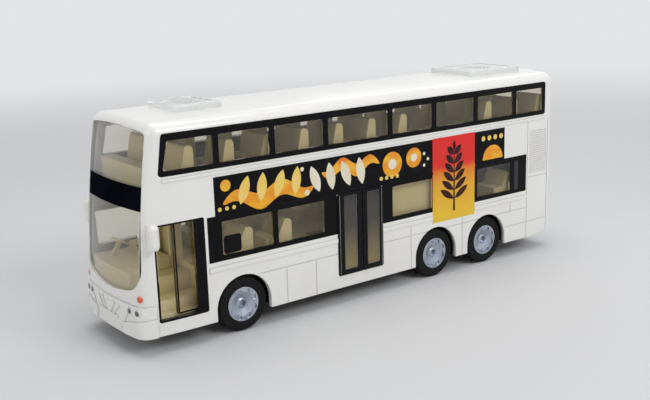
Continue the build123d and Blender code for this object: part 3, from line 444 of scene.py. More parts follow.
printedInk = {"fine": 2200.0, "coarse": 160.0, "roughness": (0.28, 0.38), "bump": 0.000005, "specular": 0.2}
lampPaint = {"fine": 2500.0, "coarse": 700.0, "roughness": (0.18, 0.3), "bump": 0.00001, "coat": 0.6}
finishes = {
    "blackPrint": {"colour": "#0a0a0c", "colourDrift": "#111114", "fine": 1800.0, "coarse": 120.0,
                   "roughness": (0.22, 0.34), "bump": 0.000006, "specular": 0.1,
                   "wear": 0.25, "wearReach": 0.0001, "wearColour": "#55555a"},
    "bandBlack": {"colour": "#0a0b10", "colourDrift": "#101218", "fine": 1800.0, "coarse": 120.0,
                  "roughness": (0.3, 0.42), "bump": 0.000005, "specular": 0.0},
    "doorBlack": {"colour": "#0a0a0d", "colourDrift": "#111116", "fine": 1500.0, "coarse": 90.0,
                  "roughness": (0.14, 0.24), "bump": 0.000006, "specular": 0.14,
                  "wear": 0.5, "wearReach": 0.00015, "wearColour": "#6a6a6e",
                  "dustAndShade": 0.3, "dustAndShadeReach": 0.0006, "dustTops": 0.1, "dustAndShadeColour": "#6e6c68"},
    "creamMoulding": {"colour": "#eee3b8", "colourDrift": "#e8dba9", "fine": 2600.0, "coarse": 80.0,
                      "roughness": (0.38, 0.5), "bump": 0.00001,
                      "wear": 0.35, "wearReach": 0.0003, "wearColour": "#f4edd3",
                      # painted shade: the cream darkens in corners and hollows; faces that look up take a
                      # little dust
                      "dustAndShade": 0.5, "dustAndShadeReach": 0.0025, "dustTops": 0.08, "dustAndShadeColour": "#8d8062"},
    "baseBlack": {"colour": "#141416", "colourDrift": "#1d1d20", "fine": 3200.0, "coarse": 110.0,
                  "roughness": (0.42, 0.58), "bump": 0.00002,
                  "wear": 0.5, "wearReach": 0.0003, "wearColour": "#4a4a4c",
                  "dustAndShade": 0.35, "dustAndShadeReach": 0.0015, "dustTops": 0.15, "dustAndShadeColour": "#5b5853"},
    "tyreRubber": {"colour": "#0b0b0c", "colourDrift": "#131314", "fine": 2800.0, "coarse": 140.0,
                   "roughness": (0.55, 0.75), "bump": 0.00003, "specular": 0.2,
                   "wear": 0.6, "wearReach": 0.0003, "wearColour": "#3c3b3a",
                   "dustAndShade": 0.45, "dustAndShadeReach": 0.0006, "dustTops": 0.12, "dustAndShadeColour": "#5f5a52"},
    "platedHub": {"colour": "#bfc5d0", "colourDrift": "#9aa2b2", "fine": 1200.0, "coarse": 260.0,
                  "roughness": (0.2, 0.34), "bump": 0.000012, "metallic": 1.0,
                  "wear": 0.8, "wearReach": 0.0003, "wearColour": "#f6f7f9",
                  # painted shade: the hub's dish and recesses darken to blue-grey
                  "dustAndShade": 0.6, "dustAndShadeReach": 0.0012, "dustTops": 0.0, "dustAndShadeColour": "#6a7080"},
    "steelRod": {"colour": "#9a9a9c", "colourDrift": "#85868a", "fine": 2000.0, "coarse": 300.0,
                 "roughness": (0.25, 0.4), "bump": 0.00001, "metallic": 1.0},
    "mirrorEnamel": {"colour": "#f4f3ee", "colourDrift": "#efeee9", "fine": 900.0, "coarse": 80.0,
                     "roughness": (0.22, 0.3), "bump": 0.00001, "coat": 0.35,
                     "wear": 0.15, "wearReach": 0.0002, "wearColour": "#b9b9b8",
                     # painted shade: the mirror's corners darken towards grey
                     "dustAndShade": 0.4, "dustAndShadeReach": 0.0006, "dustTops": 0.02, "dustAndShadeColour": "#8a8780"},
    "lampGrey": {**lampPaint, "colour": "#4a4c52", "colourDrift": "#6d7078", "coarse": 900.0,
                 "roughness": (0.15, 0.25)},
    "lampRed": {**lampPaint, "colour": "#c3281c", "colourDrift": "#d83a26"},
    "lampOrange": {**lampPaint, "colour": "#e2522f", "colourDrift": "#ee6b45"},
    # painted highlights: light grey lines on the centre door's pane and outer edges
    "highlightLine": {"colour": "#7c7d80", "colourDrift": "#a9aaac", "fine": 1500.0, "coarse": 300.0,
                 "roughness": (0.25, 0.35), "bump": 0.000005},
    "greyStrip": {"colour": "#3c3e43", "colourDrift": "#2b2d31", "fine": 1500.0, "coarse": 200.0,
                  "roughness": (0.25, 0.35), "bump": 0.000005, "specular": 0.3},
    "yellowInk": {**printedInk, "colour": "#f5d060", "colourDrift": "#f8dd8a"},
    "paleInk": {**printedInk, "colour": "#f3eede", "colourDrift": "#e9dfc0"},
    "maroonInk": {**printedInk, "colour": "#2b0f12", "colourDrift": "#3d1716", "coarse": 260.0},
}
shaderValues = (                 # key in a finish, its usual value, the shader's socket
    ("metallic", 0.0, "Metallic"),
    ("specular", 0.5, "Specular IOR Level"),
    ("coat", 0.0, "Coat Weight"),
    ("coatRoughness", 0.08, "Coat Roughness"),
)


def makeFinish(name, spec, insideMask=None):
    material, tree, shader = newMaterial(name)
    grain = useEffect(tree, grainGroup, Fine=spec["fine"], Coarse=spec["coarse"])
    drift = span(tree, grain.outputs["Drift"], 0.0, 1.0, *effects["drift"])
    colour = blend(tree, drift, linear(spec["colour"]), linear(spec["colourDrift"]))
    if "wear" in spec:
        wear = useEffect(tree, wearGroup, Reach=spec["wearReach"], Amount=spec["wear"])
        colour = blend(tree, wear.outputs["Mask"], colour, linear(spec["wearColour"]))
    # corners and up-facing faces take the dust-and-shade colour: painted shade on light finishes, pale dust
    # on dark ones
    if "dustAndShade" in spec:
        dustAndShade = useEffect(tree, dustAndShadeGroup, Reach=spec["dustAndShadeReach"], Corners=spec["dustAndShade"],
                         Tops=spec["dustTops"])
        colour = blend(tree, dustAndShade.outputs["Mask"], colour, linear(spec["dustAndShadeColour"]))
    gloss = span(tree, grain.outputs["Drift"], *spec["roughness"], *effects["drift"])
    # painted shade on the faces inside the shell, with a duller gloss there
    if insideMask:
        inside = insideMask(tree)
        colour = blend(tree, inside, colour, linear(spec["inside"]))
        gloss = maths(tree, "MAXIMUM", gloss, maths(tree, "MULTIPLY", inside, spec["insideRoughness"]))
    tree.links.new(colour, shader.inputs["Base Color"])
    tree.links.new(gloss, shader.inputs["Roughness"])
    for key, usual, socket in shaderValues:
        shader.inputs[socket].default_value = spec.get(key, usual)
    bump(tree, shader, grain.outputs["Height"], spec["bump"])
    return material


paint = {name: makeFinish(name, spec) for name, spec in finishes.items()}


# White enamel on the cast body: glossy outside; dull inside, where a darker grey is painted shade

enamel = {
    "colour": "#f6f5f1", "colourDrift": "#f1f0ec", "fine": 900.0, "coarse": 45.0,
    "roughness": (0.2, 0.28), "bump": 0.000012, "coat": 0.35, "coatRoughness": 0.06,
    "wear": 0.18, "wearReach": 0.00018, "wearColour": "#b9b9b8",
    # painted shade: the enamel's corners, creases and grooves darken towards grey
    "dustAndShade": 0.85, "dustAndShadeReach": 0.0007, "dustTops": 0.02, "dustAndShadeColour": "#8a8780",
    # painted shade: the faces inside the shell are a darker grey
    "inside": "#8d8a84", "insideRoughness": 0.6,
    "middleZ": 30.0,             # faces turned towards this height are inside
}


def arcSag(tree, reach, radius):         # how far an arc has fallen away at a reach from its top
    return maths(tree, "MULTIPLY", maths(tree, "POWER", reach, 2.0), 0.5 / (radius * mm))


def insideShell(tree):           # 1 on faces deeper than half the wall that look inwards
    place = objectPlace(tree)
    x, y, z = axesOf(tree, place)
    skin = form["wall"] / 2 * mm
    past = maths(tree, "MAXIMUM", maths(tree, "SUBTRACT", x, form["taperStart"] * mm), 0.0)
    flank = maths(tree, "ADD", maths(tree, "ABSOLUTE", y, 0.0), arcSag(tree, past, form["taperRadius"]))
    roof = maths(tree, "ADD", z, arcSag(tree, y, form["roofRadius"]))
    up = maths(tree, "SUBTRACT", z, form["uprightZ"] * mm)
    nose = maths(tree, "ADD", x, arcSag(tree, y, form["bowRadius"]))
    nose = maths(tree, "ADD", nose, arcSag(tree, up, form["leanRadius"]))
    middle = (0.0, 0.0, enamel["middleZ"] * mm)
    outward = vectorMaths(tree, "SUBTRACT", (place, middle), "Vector")
    outward = vectorMaths(tree, "DOT_PRODUCT", (outward, surfaceNormal(tree)), "Value")
    mask = maths(tree, "GREATER_THAN", x, form["rearX"] * mm + skin)
    for value, limit in ((flank, form["halfWidth"] * mm - skin), (roof, form["crownZ"] * mm - skin),
                         (nose, form["faceX"] * mm - skin), (outward, 0.0)):
        mask = maths(tree, "MULTIPLY", mask, maths(tree, "LESS_THAN", value, limit))
    return mask


paint["whiteEnamel"] = makeFinish("whiteEnamel", enamel, insideShell)


# Clear and frosted mouldings

clear = {
    "windowClear": {"tint": "#efece4", "roughness": (0.02, 0.06), "bump": 0.000004, "through": 1.0},
    "screenClear": {"tint": "#f0eee8", "roughness": (0.02, 0.07), "bump": 0.000005, "through": 1.0},
    "doorClear": {"tint": "#efebe0", "roughness": (0.03, 0.08), "bump": 0.000005, "through": 1.0},
    "podClear": {"tint": "#f4f5f5", "roughness": (0.3, 0.5), "bump": 0.00003, "through": 0.66},
}
clearPlastic = {"index": 1.46, "fine": 500.0, "coarse": 90.0, "drift": (0.35, 0.7)}


def makeClear(name, spec):
    material, tree, shader = newMaterial(name)
    shader.inputs["Base Color"].default_value = linear(spec["tint"])
    shader.inputs["Transmission Weight"].default_value = spec["through"]
    shader.inputs["IOR"].default_value = clearPlastic["index"]
    grain = useEffect(tree, grainGroup, Fine=clearPlastic["fine"], Coarse=clearPlastic["coarse"])
    gloss = span(tree, grain.outputs["Drift"], *spec["roughness"], *clearPlastic["drift"])
    tree.links.new(gloss, shader.inputs["Roughness"])
    bump(tree, shader, grain.outputs["Height"], spec["bump"])
    through = addNode(tree, "ShaderNodeBsdfTransparent")
    through.inputs["Color"].default_value = linear(spec["tint"])
    path = addNode(tree, "ShaderNodeLightPath")
    soft = maths(tree, "MAXIMUM", path.outputs["Is Shadow Ray"], path.outputs["Is Diffuse Ray"])
    mixOut(tree, soft, shader.outputs[0], through.outputs[0])
    return material


paint.update({name: makeClear(name, spec) for name, spec in clear.items()})


# Inks whose colour changes with height, stirred by noise; the door panes' colour among them is painted light
# and shade

stirred = {
    "flameInk": {"low": 32.5, "high": 42.5, "stir": 1.1, "scale": 330.0,
                 "colours": ((0.0, "#f7b733"), (0.35, "#f39a2b"), (0.6, "#f6c23f"), (1.0, "#ee7f2a"))},
    "posterInk": {"low": 17.0, "high": 42.6, "stir": 0.16, "scale": 160.0,
                  "colours": ((0.0, "#f2cb3f"), (0.4, "#eeb03a"), (0.6, "#ea8a34"), (0.68, "#e6392e"),
                              (1.0, "#e8322c"))},
    # painted light and shade: the door panes are lighter at the foot and darker towards the top
    "doorPaneLightAndShade": {"low": 9.7, "high": 31.0, "stir": 0.12, "scale": 120.0,
                    "colours": ((0.0, "#8f8460"), (0.28, "#7a7058"), (0.6, "#55504a"), (1.0, "#4a4745"))},
}
inkSurface = {"detail": 5.0, "middle": 0.5, "roughness": (0.26, 0.4), "specular": 0.2, "bump": 0.000006}


def makeStirred(name, spec):
    material, tree, shader = newMaterial(name)
    place = objectPlace(tree)
    noise = noiseAt(tree, place, spec["scale"], inkSurface["detail"])
    along = span(tree, axesOf(tree, place)["Z"], 0.0, 1.0, spec["low"] * mm, spec["high"] * mm)
    stir = maths(tree, "MULTIPLY", maths(tree, "SUBTRACT", noise, inkSurface["middle"]), spec["stir"])
    colours = addNode(tree, "ShaderNodeValToRGB")
    tree.links.new(maths(tree, "ADD", along, stir, True), colours.inputs[0])
    stops = colours.color_ramp.elements
    while len(stops) < len(spec["colours"]):
        stops.new(0.5)
    for stop, (position, colour) in zip(stops, spec["colours"]):
        stop.position = position
        stop.color = linear(colour)
    tree.links.new(colours.outputs[0], shader.inputs["Base Color"])
    tree.links.new(span(tree, noise, *inkSurface["roughness"]), shader.inputs["Roughness"])
    shader.inputs["Specular IOR Level"].default_value = inkSurface["specular"]
    bump(tree, shader, noise, inkSurface["bump"])
    return material


paint.update({name: makeStirred(name, spec) for name, spec in stirred.items()})
print("stage: materials ready")


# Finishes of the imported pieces

dressing = {
    "whiteEnamel": ["body_shell"],
    "screenClear": ["windscreen"],
    "windowClear": ["rear_window", "upper_glazing_left", "upper_glazing_right", "lower_glazing_front_left",
                    "lower_glazing_rear_left", "lower_glazing_right", "driver_window"],
    "doorClear": ["entrance_door"],
    "doorBlack": ["centre_door"],
    "creamMoulding": ["upper_deck", "lower_deck", "cab"],
    "baseBlack": ["chassis_base"],
    "podClear": ["roof_pod_front", "roof_pod_rear"],
    "mirrorEnamel": ["mirror_left", "mirror_right"],
    "steelRod": [f"axle_{axle}" for axle in axles],
    "platedHub": [f"hub_{axle}_{hand}" for axle in axles for hand, side in sides],
    "tyreRubber": [f"tyre_{axle}_{hand}" for axle in axles for hand, side in sides],
}
for finish, names in dressing.items():
    for name in names:
        for slot in nodes[name].material_slots:
            slot.material = paint[finish]
print("stage: packed pieces dressed")


# Window frames and bands, printed black on both sides

windows = {
    "upperSill": 45.8, "upperHead": 53.3,
    "lowerSill": 21.8, "lowerHead": 31.0,
    "upperFront": 64.9, "upperRear": -70.2, "slant": 0.8,
    "pillars": (50.7, 34.0, 16.8, -5.9, -22.8, -39.9, -57.0),
    "pillarWidth": 1.3,
    "corner": 0.6, "leastCorner": 0.15,
    "lowerFront": 50.4,          # front edge of the first lower window on the left
    "lowerRear": -55.7,
    "beforeDoor": 17.8,
    "afterDoor": -6.2,
    "driverRear": 56.5, "driverFront": 69.0,
    "frameWidth": 0.14,          # printed edge of each pane
    "framePlay": 0.01,           # between that edge and its opening
    "frameLift": 0.02,           # between that edge and the glass
}
bands = {
    "upper": {"low": 44.6, "high": 55.0, "rear": -71.3, "frontLow": 66.9, "frontHigh": 65.4, "corner": 0.9},
    "lower": {"low": 20.6, "high": 32.5, "front": 54.4, "frontRight": 70.2, "rear": -62.9, "corner": 0.2},
    "door": {"front": 13.72, "rear": -2.52, "head": 31.8},
}
strip = {"front": -57.4, "rear": -59.1, "low": 21.8, "high": 31.0, "corner": 0.1}   # lighter, at the rear
rearWindow = {"half": 12.6, "low": 45.8, "high": 53.3, "corner": 1.2, "width": 0.35, "play": 0.01}


def pane(rear, front, low, high, grow, slant=0.0):
    corners = [(rear - grow, low - grow), (front + slant + grow, low - grow),
               (front - slant + grow, high + grow), (rear - grow, high + grow)]
    return rounded(corners, max(windows["corner"] + grow, windows["leastCorner"]))


def upperPanes(grow):
    w = windows
    edges = [w["upperFront"], *w["pillars"], w["upperRear"]]
    half = w["pillarWidth"] / 2
    last = len(edges) - 2
    loops = []
    for i in range(last + 1):
        front = edges[i] - (half if i else 0)
        rear = edges[i + 1] + (half if i < last else 0)
        loops.append(pane(rear, front, w["upperSill"], w["upperHead"], grow, 0 if i else w["slant"]))
    return loops


def lowerPanes(side, grow):
    w = windows
    half = w["pillarWidth"] / 2
    pillars = w["pillars"]
    spans = [(pillars[1] + half, w["lowerFront"])]
    if side > 0:
        spans.append((w["beforeDoor"], pillars[1] - half))
    else:
        spans = [(w["driverRear"], w["driverFront"])] + spans
        spans += [(pillars[2] + half, pillars[1] - half),
                  (w["afterDoor"] + w["pillarWidth"], pillars[2] - half)]
    spans += [(pillars[4] + half, w["afterDoor"]), (pillars[5] + half, pillars[4] - half),
              (w["lowerRear"], pillars[5] - half)]
    return [pane(rear, front, w["lowerSill"], w["lowerHead"], grow) for rear, front in spans]


def windowFrames(side):
    recess = form["glassRecess"] - windows["frameLift"]
    outer, inner = (upperPanes(-windows[key]) + lowerPanes(side, -windows[key])
                    for key in ("framePlay", "frameWidth"))
    return sidePrint(zip(outer, inner), side, -recess, recess + prints["thick"], follow=False)


def windowBands(side):
    up, low, door = bands["upper"], bands["lower"], bands["door"]
    outline = rounded([(up["rear"], up["low"]), (up["frontLow"], up["low"]),
                       (up["frontHigh"], up["high"]), (up["rear"], up["high"])], up["corner"])
    islands = [[outline] + upperPanes(0.0)]
    front = low["front"] if side > 0 else low["frontRight"]
    notch = []                   # round the middle door
    if side > 0:
        notch = [(door["rear"], low["low"]), (door["rear"], door["head"]),
                 (door["front"], door["head"]), (door["front"], low["low"])]
    outline = rounded([(low["rear"], low["low"]), *notch, (front, low["low"]),
                       (front, low["high"]), (low["rear"], low["high"])], low["corner"])
    islands.append([outline] + lowerPanes(side, 0.0))
    return sidePrint(islands, side, prints["gap"])


def rearFrame():                 # the printed edge of the rear window
    r = rearWindow
    half, w, recess = r["half"], r["width"], form["glassRecess"]
    outer = oblong(r["play"] - half, half - r["play"], r["low"], r["high"], r["corner"])
    inner = oblong(w - half, half - w, r["low"] + w, r["high"] - w, r["corner"] - w)
    middle = form["rearX"] + recess / 2 - prints["thick"]
    return putPoints(plate([outer, inner], recess), lambda y, z, depth: (middle - depth, y, z))


over = prints["thick"] + 2 * prints["gap"]       # lift of a print on top of another
for hand, side in sides:
    addPiece(f"window_bands_{hand}", windowBands(side), paint["blackPrint"])
    addPiece(f"window_frames_{hand}", windowFrames(side), paint["blackPrint"])
    addPiece(f"band_strip_{hand}", sidePrint([[oblongOf(strip)]], side, over, prints["inkThick"]),
             paint["greyStrip"])
addPiece("rear_window_frame", rearFrame(), paint["blackPrint"])
print("stage: window bands and frames")


# Printed band along each side, with a plain pattern of waves, discs and leaves

panel = {"front": 52.0, "rear": -52.65, "low": 32.5, "high": 42.45}
poster = {"front": -22.0, "rear": -39.5, "low": 17.0, "high": 42.6}
pattern = {                      # outlines of each ink
    "flames": [wave(49.6, 21.4, 35.6, 1.3, 14.0, 4.4), wave(18.6, -1.6, 38.9, 1.2, 10.0, 3.6, 0.1),
               disc(48.6, 39.9, 1.5), disc(-6.4, 37.4, 3.6), disc(-14.6, 38.2, 2.9),
               disc(-47.4, 33.2, 4.4, sweep=180.0)],
    "yellow": [*(petal(43.2 - 5.4 * i, 37.9, 7.6, 3.0, 20 - 12 * (i % 2)) for i in range(4)),
               *(disc(50.6 - 2.1 * i, 34.0, 0.55, 16) for i in range(3)),
               *(disc(-2.2 - 2.0 * i, 33.8, 0.6, 16) for i in range(4)),
               *(disc(-43.2 - 2.6 * i, 40.0, 0.8, 18) for i in range(4))],
    "pale": [*(petal(20.8 - 5.2 * i, 37.3, 7.8, 3.0, -20 + 12 * (i % 2)) for i in range(4)),
             disc(25.0, 40.6, 0.6, 14), disc(23.6, 34.0, 0.8, 16),
             disc(-6.4, 37.4, 1.5, 24), disc(-14.6, 38.2, 1.2, 24),
             *(disc(-18.6 - 1.5 * (i % 2), 35.4 + 1.7 * i, 0.5, 14) for i in range(3))],
}
patternInks = (("flames", "flameInk", 0.0),      # with the lift of each over the first ink's
               ("yellow", "yellowInk", prints["inkThick"] + prints["gap"]),
               ("pale", "paleInk", prints["inkThick"] + prints["gap"]))
branch = {                       # the leaves on the poster
    "x": -30.8, "foot": 19.6, "top": 39.8,
    "stem": (-0.35, 0.45, 0.1, -0.1),    # its corners beside x: two at the foot, two at the top
    "pairs": 6, "firstZ": 23.4, "pitch": 2.7,
    "length": 6.4, "lengthLess": 0.55, "width": 2.0,     # each pair is shorter than the one below
    "turn": 58, "turnLess": 3, "root": 0.25,
    "tip": (39.6, 3.2, 1.2),     # z, length and width of the leaf at the top
}


def branchLeaves():
    b = branch
    heights = (b["foot"], b["foot"], b["top"], b["top"])
    loops = [[(b["x"] + edge, z) for edge, z in zip(b["stem"], heights)]]
    for i in range(b["pairs"]):
        z = b["firstZ"] + b["pitch"] * i
        length = b["length"] - b["lengthLess"] * i
        turn = b["turn"] - b["turnLess"] * i
        reach, rise = (length / 2 * f(math.radians(turn)) for f in (math.sin, math.cos))
        for way in (1, -1):
            x = b["x"] - way * (reach + b["root"])
            loops.append(petal(x, z + rise, length, b["width"], way * turn))
    z, length, width = b["tip"]
    loops.append(petal(b["x"], z, length, width, 0))
    return loops


def sidePanel(hand, side):
    thick, ink, gap = prints["thick"], prints["inkThick"], prints["gap"]
    ahead = oblongOf({**panel, "rear": poster["front"]})
    behind = oblongOf({**panel, "front": poster["rear"]})
    addPiece(f"panel_base_{hand}", sidePrint([[ahead], [behind]], side, gap), paint["blackPrint"])
    for label, finish, lift in patternInks:
        islands = [[loop] for loop in pattern[label]]
        addPiece(f"panel_{label}_{hand}", sidePrint(islands, side, over + lift, ink), paint[finish])
    addPiece(f"poster_{hand}", sidePrint([[oblongOf(poster)]], side, over), paint["posterInk"])
    leaves = [[loop] for loop in branchLeaves()]
    addPiece(f"poster_leaves_{hand}", sidePrint(leaves, side, over + thick + gap, ink), paint["maroonInk"])


for hand, side in sides:
    sidePanel(hand, side)
print("stage: side panels and posters")


# Blank plate on the first lower window, the door prints, and on the centre door the panes in painted light
# and shade and the lines as painted highlights

blankPlate = {"front": 49.8, "rear": 44.6, "low": 22.2, "high": 26.9, "corner": 0.8,
              "lift": 0.01, "thick": 0.04}
for hand, side in sides:
    shape = sidePrint([[oblongOf(blankPlate)]], side, blankPlate["lift"] - form["glassRecess"],
                      blankPlate["thick"], follow=False)
    addPiece(f"blank_plate_{hand}", shape, paint["blackPrint"])

entrance = {
    "rear": 55.2, "front": 69.0, "low": 8.2, "high": 33.0, "corner": 0.6, "innerCorner": 0.2,
    "line": 0.45,                # width of the printed edges
    "play": 0.02, "lift": 0.01, "proud": 0.02,
    "jamb": 58.1,                # front edge of the black jamb
    "leafFront": 63.4, "leafLow": 9.2, "leafHigh": 32.8, "leafY": 16.0,
    "leafCorner": 0.1, "leafLift": 0.005,
}


def entrancePrints():
    e = entrance
    line, play, recess = e["line"], e["play"], form["glassRecess"]
    inner = oblong(e["jamb"], e["front"] - line, e["low"] + line, e["high"] - line, e["innerCorner"])
    frameShape = sidePrint([[oblongOf(e, play), inner]], 1, e["lift"] - recess, recess + e["proud"],
                           follow=False)
    corner, inFront = e["leafCorner"], e["leafFront"] - line
    upright = oblong(inFront, e["leafFront"] - play, e["leafLow"], e["leafHigh"], corner)
    foot = oblong(e["jamb"] + play, inFront, e["leafLow"], e["leafLow"] + line, corner)
    leafShape = flatPlate([[upright], [foot]], e["leafY"] + e["leafLift"], prints["thick"])
    return merged([frameShape, leafShape])


addPiece("entrance_prints", entrancePrints(), paint["blackPrint"])

centreDoor = {
    "faceY": 17.3, "paneY": 16.8,
    "panes": ((6.6, 11.5), (-1.5, 3.3)),
    "low": 9.7, "high": 31.0,
    "play": 0.03, "corner": 0.5,
    "line": 0.12, "lineIn": 0.06, "lineCorner": 0.45,    # the fine light line round each pane, a painted highlight
    "edgeGlints": (13.0, -2.0), "glintLow": 8.7, "glintHigh": 31.4,   # fine light lines beside the door's outer edges, painted highlights
}


def doorLoops(inset, corner):
    return [oblongOf({**centreDoor, "rear": rear, "front": front, "corner": corner}, inset)
            for rear, front in centreDoor["panes"]]


# the door panes, coloured in painted light and shade
def doorPanes():
    loops = doorLoops(centreDoor["play"], centreDoor["corner"])
    return flatPlate([[loop] for loop in loops], centreDoor["paneY"] + 2 * prints["gap"], prints["thick"])


# the fine light lines are painted highlights on the pane edges and the door's outer edges
def doorHighlightLines():
    d = centreDoor
    half, ink = d["line"] / 2, prints["inkThick"]
    rings = zip(doorLoops(d["lineIn"], d["lineCorner"]),
                doorLoops(d["lineIn"] + d["line"], d["lineCorner"] - d["line"]))
    edgeGlints = [[oblong(x - half, x + half, d["glintLow"], d["glintHigh"])] for x in d["edgeGlints"]]
    return merged([flatPlate(rings, d["paneY"] + over + prints["gap"], ink),
                   flatPlate(edgeGlints, d["faceY"] + 2 * prints["gap"], ink)])


addPiece("centre_door_panes", doorPanes(), paint["doorPaneLightAndShade"])
addPiece("centre_door_highlight_lines", doorHighlightLines(), paint["highlightLine"])
print("stage: doors")


# Blank destination band across the windscreen

destination = {
    "low": 36.6, "high": 42.5, "gap": 0.008, "thick": 0.03,
    "reach": 0.9,                # faces further behind the front form than this aren't its outside
    "leastAhead": 0.3,           # nor are those that look less ahead
    "weld": 1e-7, "cutSlack": 1e-8, "smooth": 40,
}


def destinationBand():
    d = destination
    shape = bmesh.new()
    shape.from_mesh(nodes["windscreen"].data)
    bmesh.ops.remove_doubles(shape, verts=shape.verts, dist=d["weld"])
    cutAlong(shape, 2, [d["low"] * mm], d["cutSlack"], clear_inner=True)
    cutAlong(shape, 2, [d["high"] * mm], d["cutSlack"], clear_outer=True)
    away = []
    for face in shape.faces:
        x, y, z = (c / mm for c in face.calc_center_median())
        if face.normal.x < d["leastAhead"] or x < faceX(y, z) - d["reach"]:
            away.append(face)
    bmesh.ops.delete(shape, geom=away, context="FACES")
    shape.normal_update()
    for v in shape.verts:
        v.co += v.normal * d["gap"] * mm
    bmesh.ops.solidify(shape, geom=shape.faces[:], thickness=-d["thick"] * mm)
    return shape


addPiece("destination_band", destinationBand(), paint["bandBlack"], smoothAngle=destination["smooth"])


# Lamps: small domed lenses on the cast bosses

lamps = {
    "front": ((14.4, 11.4), (11.2, 11.4)),       # y, z
    "frontRadius": 0.72, "frontHeight": 0.2,
    "corner": (70.2, 13.4, 15.0), "cornerTurn": 30.0,
    "cornerRadius": 0.86, "cornerHeight": 0.22,
    "rear": ((18.0, 0.8, "lampRed"), (15.6, 0.8, "lampOrange"), (11.9, 0.9, "lampRed")),   # z, radius, finish
    "rearY": 14.5, "rearHeight": 0.07,
    "turns": 28, "rings": 5, "foot": 0.1, "smooth": 50,
    "farX": 100.0, "farOut": 20.0,               # where the rays that find the shell start
}
shellShape = bmesh.new()
shellShape.from_mesh(nodes["body_shell"].data)
shellTree = BVHTree.FromBMesh(shellShape)
shellShape.free()


def lens(place, normal, radius, height):
    shape = bmesh.new()
    turns, rings = lamps["turns"], lamps["rings"]
    rows = []
    for i in range(rings):
        angle = math.pi / 2 * i / rings
        r, h = radius * math.cos(angle), height * math.sin(angle)
        rows.append([shape.verts.new((u * mm, v * mm, h * mm)) for u, v in disc(0.0, 0.0, r, turns)])
    foot = [shape.verts.new((v.co.x, v.co.y, -lamps["foot"] * mm)) for v in rows[0]]
    rows.insert(0, foot)
    for a, b in zip(rows, rows[1:]):
        for j in range(turns):
            k = (j + 1) % turns
            shape.faces.new((a[j], a[k], b[k], b[j]))
    tip = shape.verts.new((0, 0, height * mm))
    for j in range(turns):
        shape.faces.new((rows[-1][j], rows[-1][(j + 1) % turns], tip))
    shape.faces.new(foot[::-1])
    turn = Vector(normal).to_track_quat("Z", "Y").to_matrix().to_4x4()
    bmesh.ops.transform(shape, matrix=Matrix.Translation(place) @ turn, verts=shape.verts)
    return shape


def onShell(start, direction):   # the place and normal where a ray meets the shell
    return shellTree.ray_cast(Vector(start) * mm, Vector(direction))[:2]


for hand, side in sides:
    shapes = []
    for y, z in lamps["front"]:
        place, normal = onShell((lamps["farX"], side * y, z), (-1, 0, 0))
        shapes.append(lens(place, normal, lamps["frontRadius"], lamps["frontHeight"]))
    addPiece(f"front_lamps_{hand}", merged(shapes), paint["lampGrey"], smoothAngle=lamps["smooth"])
    x, y, z = lamps["corner"]
    turn = math.radians(lamps["cornerTurn"])
    out = Vector((math.cos(turn), side * math.sin(turn), 0))
    place = onShell(Vector((x, side * y, z)) + lamps["farOut"] * out, -out)[0]
    addPiece(f"indicator_{hand}", lens(place, out, lamps["cornerRadius"], lamps["cornerHeight"]),
             paint["lampOrange"], smoothAngle=lamps["smooth"])
    for i, (z, radius, finish) in enumerate(lamps["rear"]):
        place, normal = onShell((-lamps["farX"], side * lamps["rearY"], z), (1, 0, 0))
        addPiece(f"rear_lamp_{hand}_{i + 1}", lens(place, normal, radius, lamps["rearHeight"]),
                 paint[finish], smoothAngle=lamps["smooth"])
print("stage: lamps")


# Tyres with grooved treads, in place of the plain ones

tyre = {
    "radius": 7.4, "bore": 4.62, "faceY": 16.1, "backY": 11.5,
    "shoulder": 0.6, "step": 0.5,
    "grooves": (-1.0, 0.0, 1.0),     # places across the tread
    "grooveWidth": 0.26, "grooveDepth": 0.22, "grooveFloor": 0.7,    # its floor is this share as wide
    "blocks": 44, "blockSteps": 4,   # cross cuts round the outer bands, each one step of a block long
    "plainHalf": 1.06,               # the tread has no cross cuts nearer its middle than this
    "ridges": ((6.4, 0.02), (5.5, 0.016)),       # rings on the sidewall: radius, height
    "ridgeWidth": 0.22,
    "wallIn": 0.02, "boreIn": 0.04,  # the sidewall and its inner edge lie this far behind the face
    "smooth": 30,
}
wheelX = {joint["name"].split("_")[1]: joint["pos_m"][0] / mm for joint in frame["joints"]}


def tyreProfile(middle):         # radius and y, from the bore at the back round to the bore at the face
    t = tyre
    full, step = t["radius"], t["radius"] - t["step"]
    floor, wall = full - t["grooveDepth"], t["faceY"] - t["wallIn"]
    points = [(t["bore"], t["backY"]), (step, t["backY"]), (full, t["backY"] + t["shoulder"])]
    half, w = t["grooveWidth"] / 2, t["ridgeWidth"] / 2
    floorHalf = half * t["grooveFloor"]
    for place in t["grooves"]:
        y = middle + place
        points += [(full, y - half), (floor, y - floorHalf), (floor, y + floorHalf), (full, y + half)]
    points += [(full, t["faceY"] - t["shoulder"]), (step, t["faceY"])]
    for radius, height in t["ridges"]:
        points += [(radius + w, wall), (radius + w / 2, wall + height),
                   (radius - w / 2, wall + height), (radius - w, wall)]
    points.append((t["bore"], t["faceY"] - t["boreIn"]))
    return points


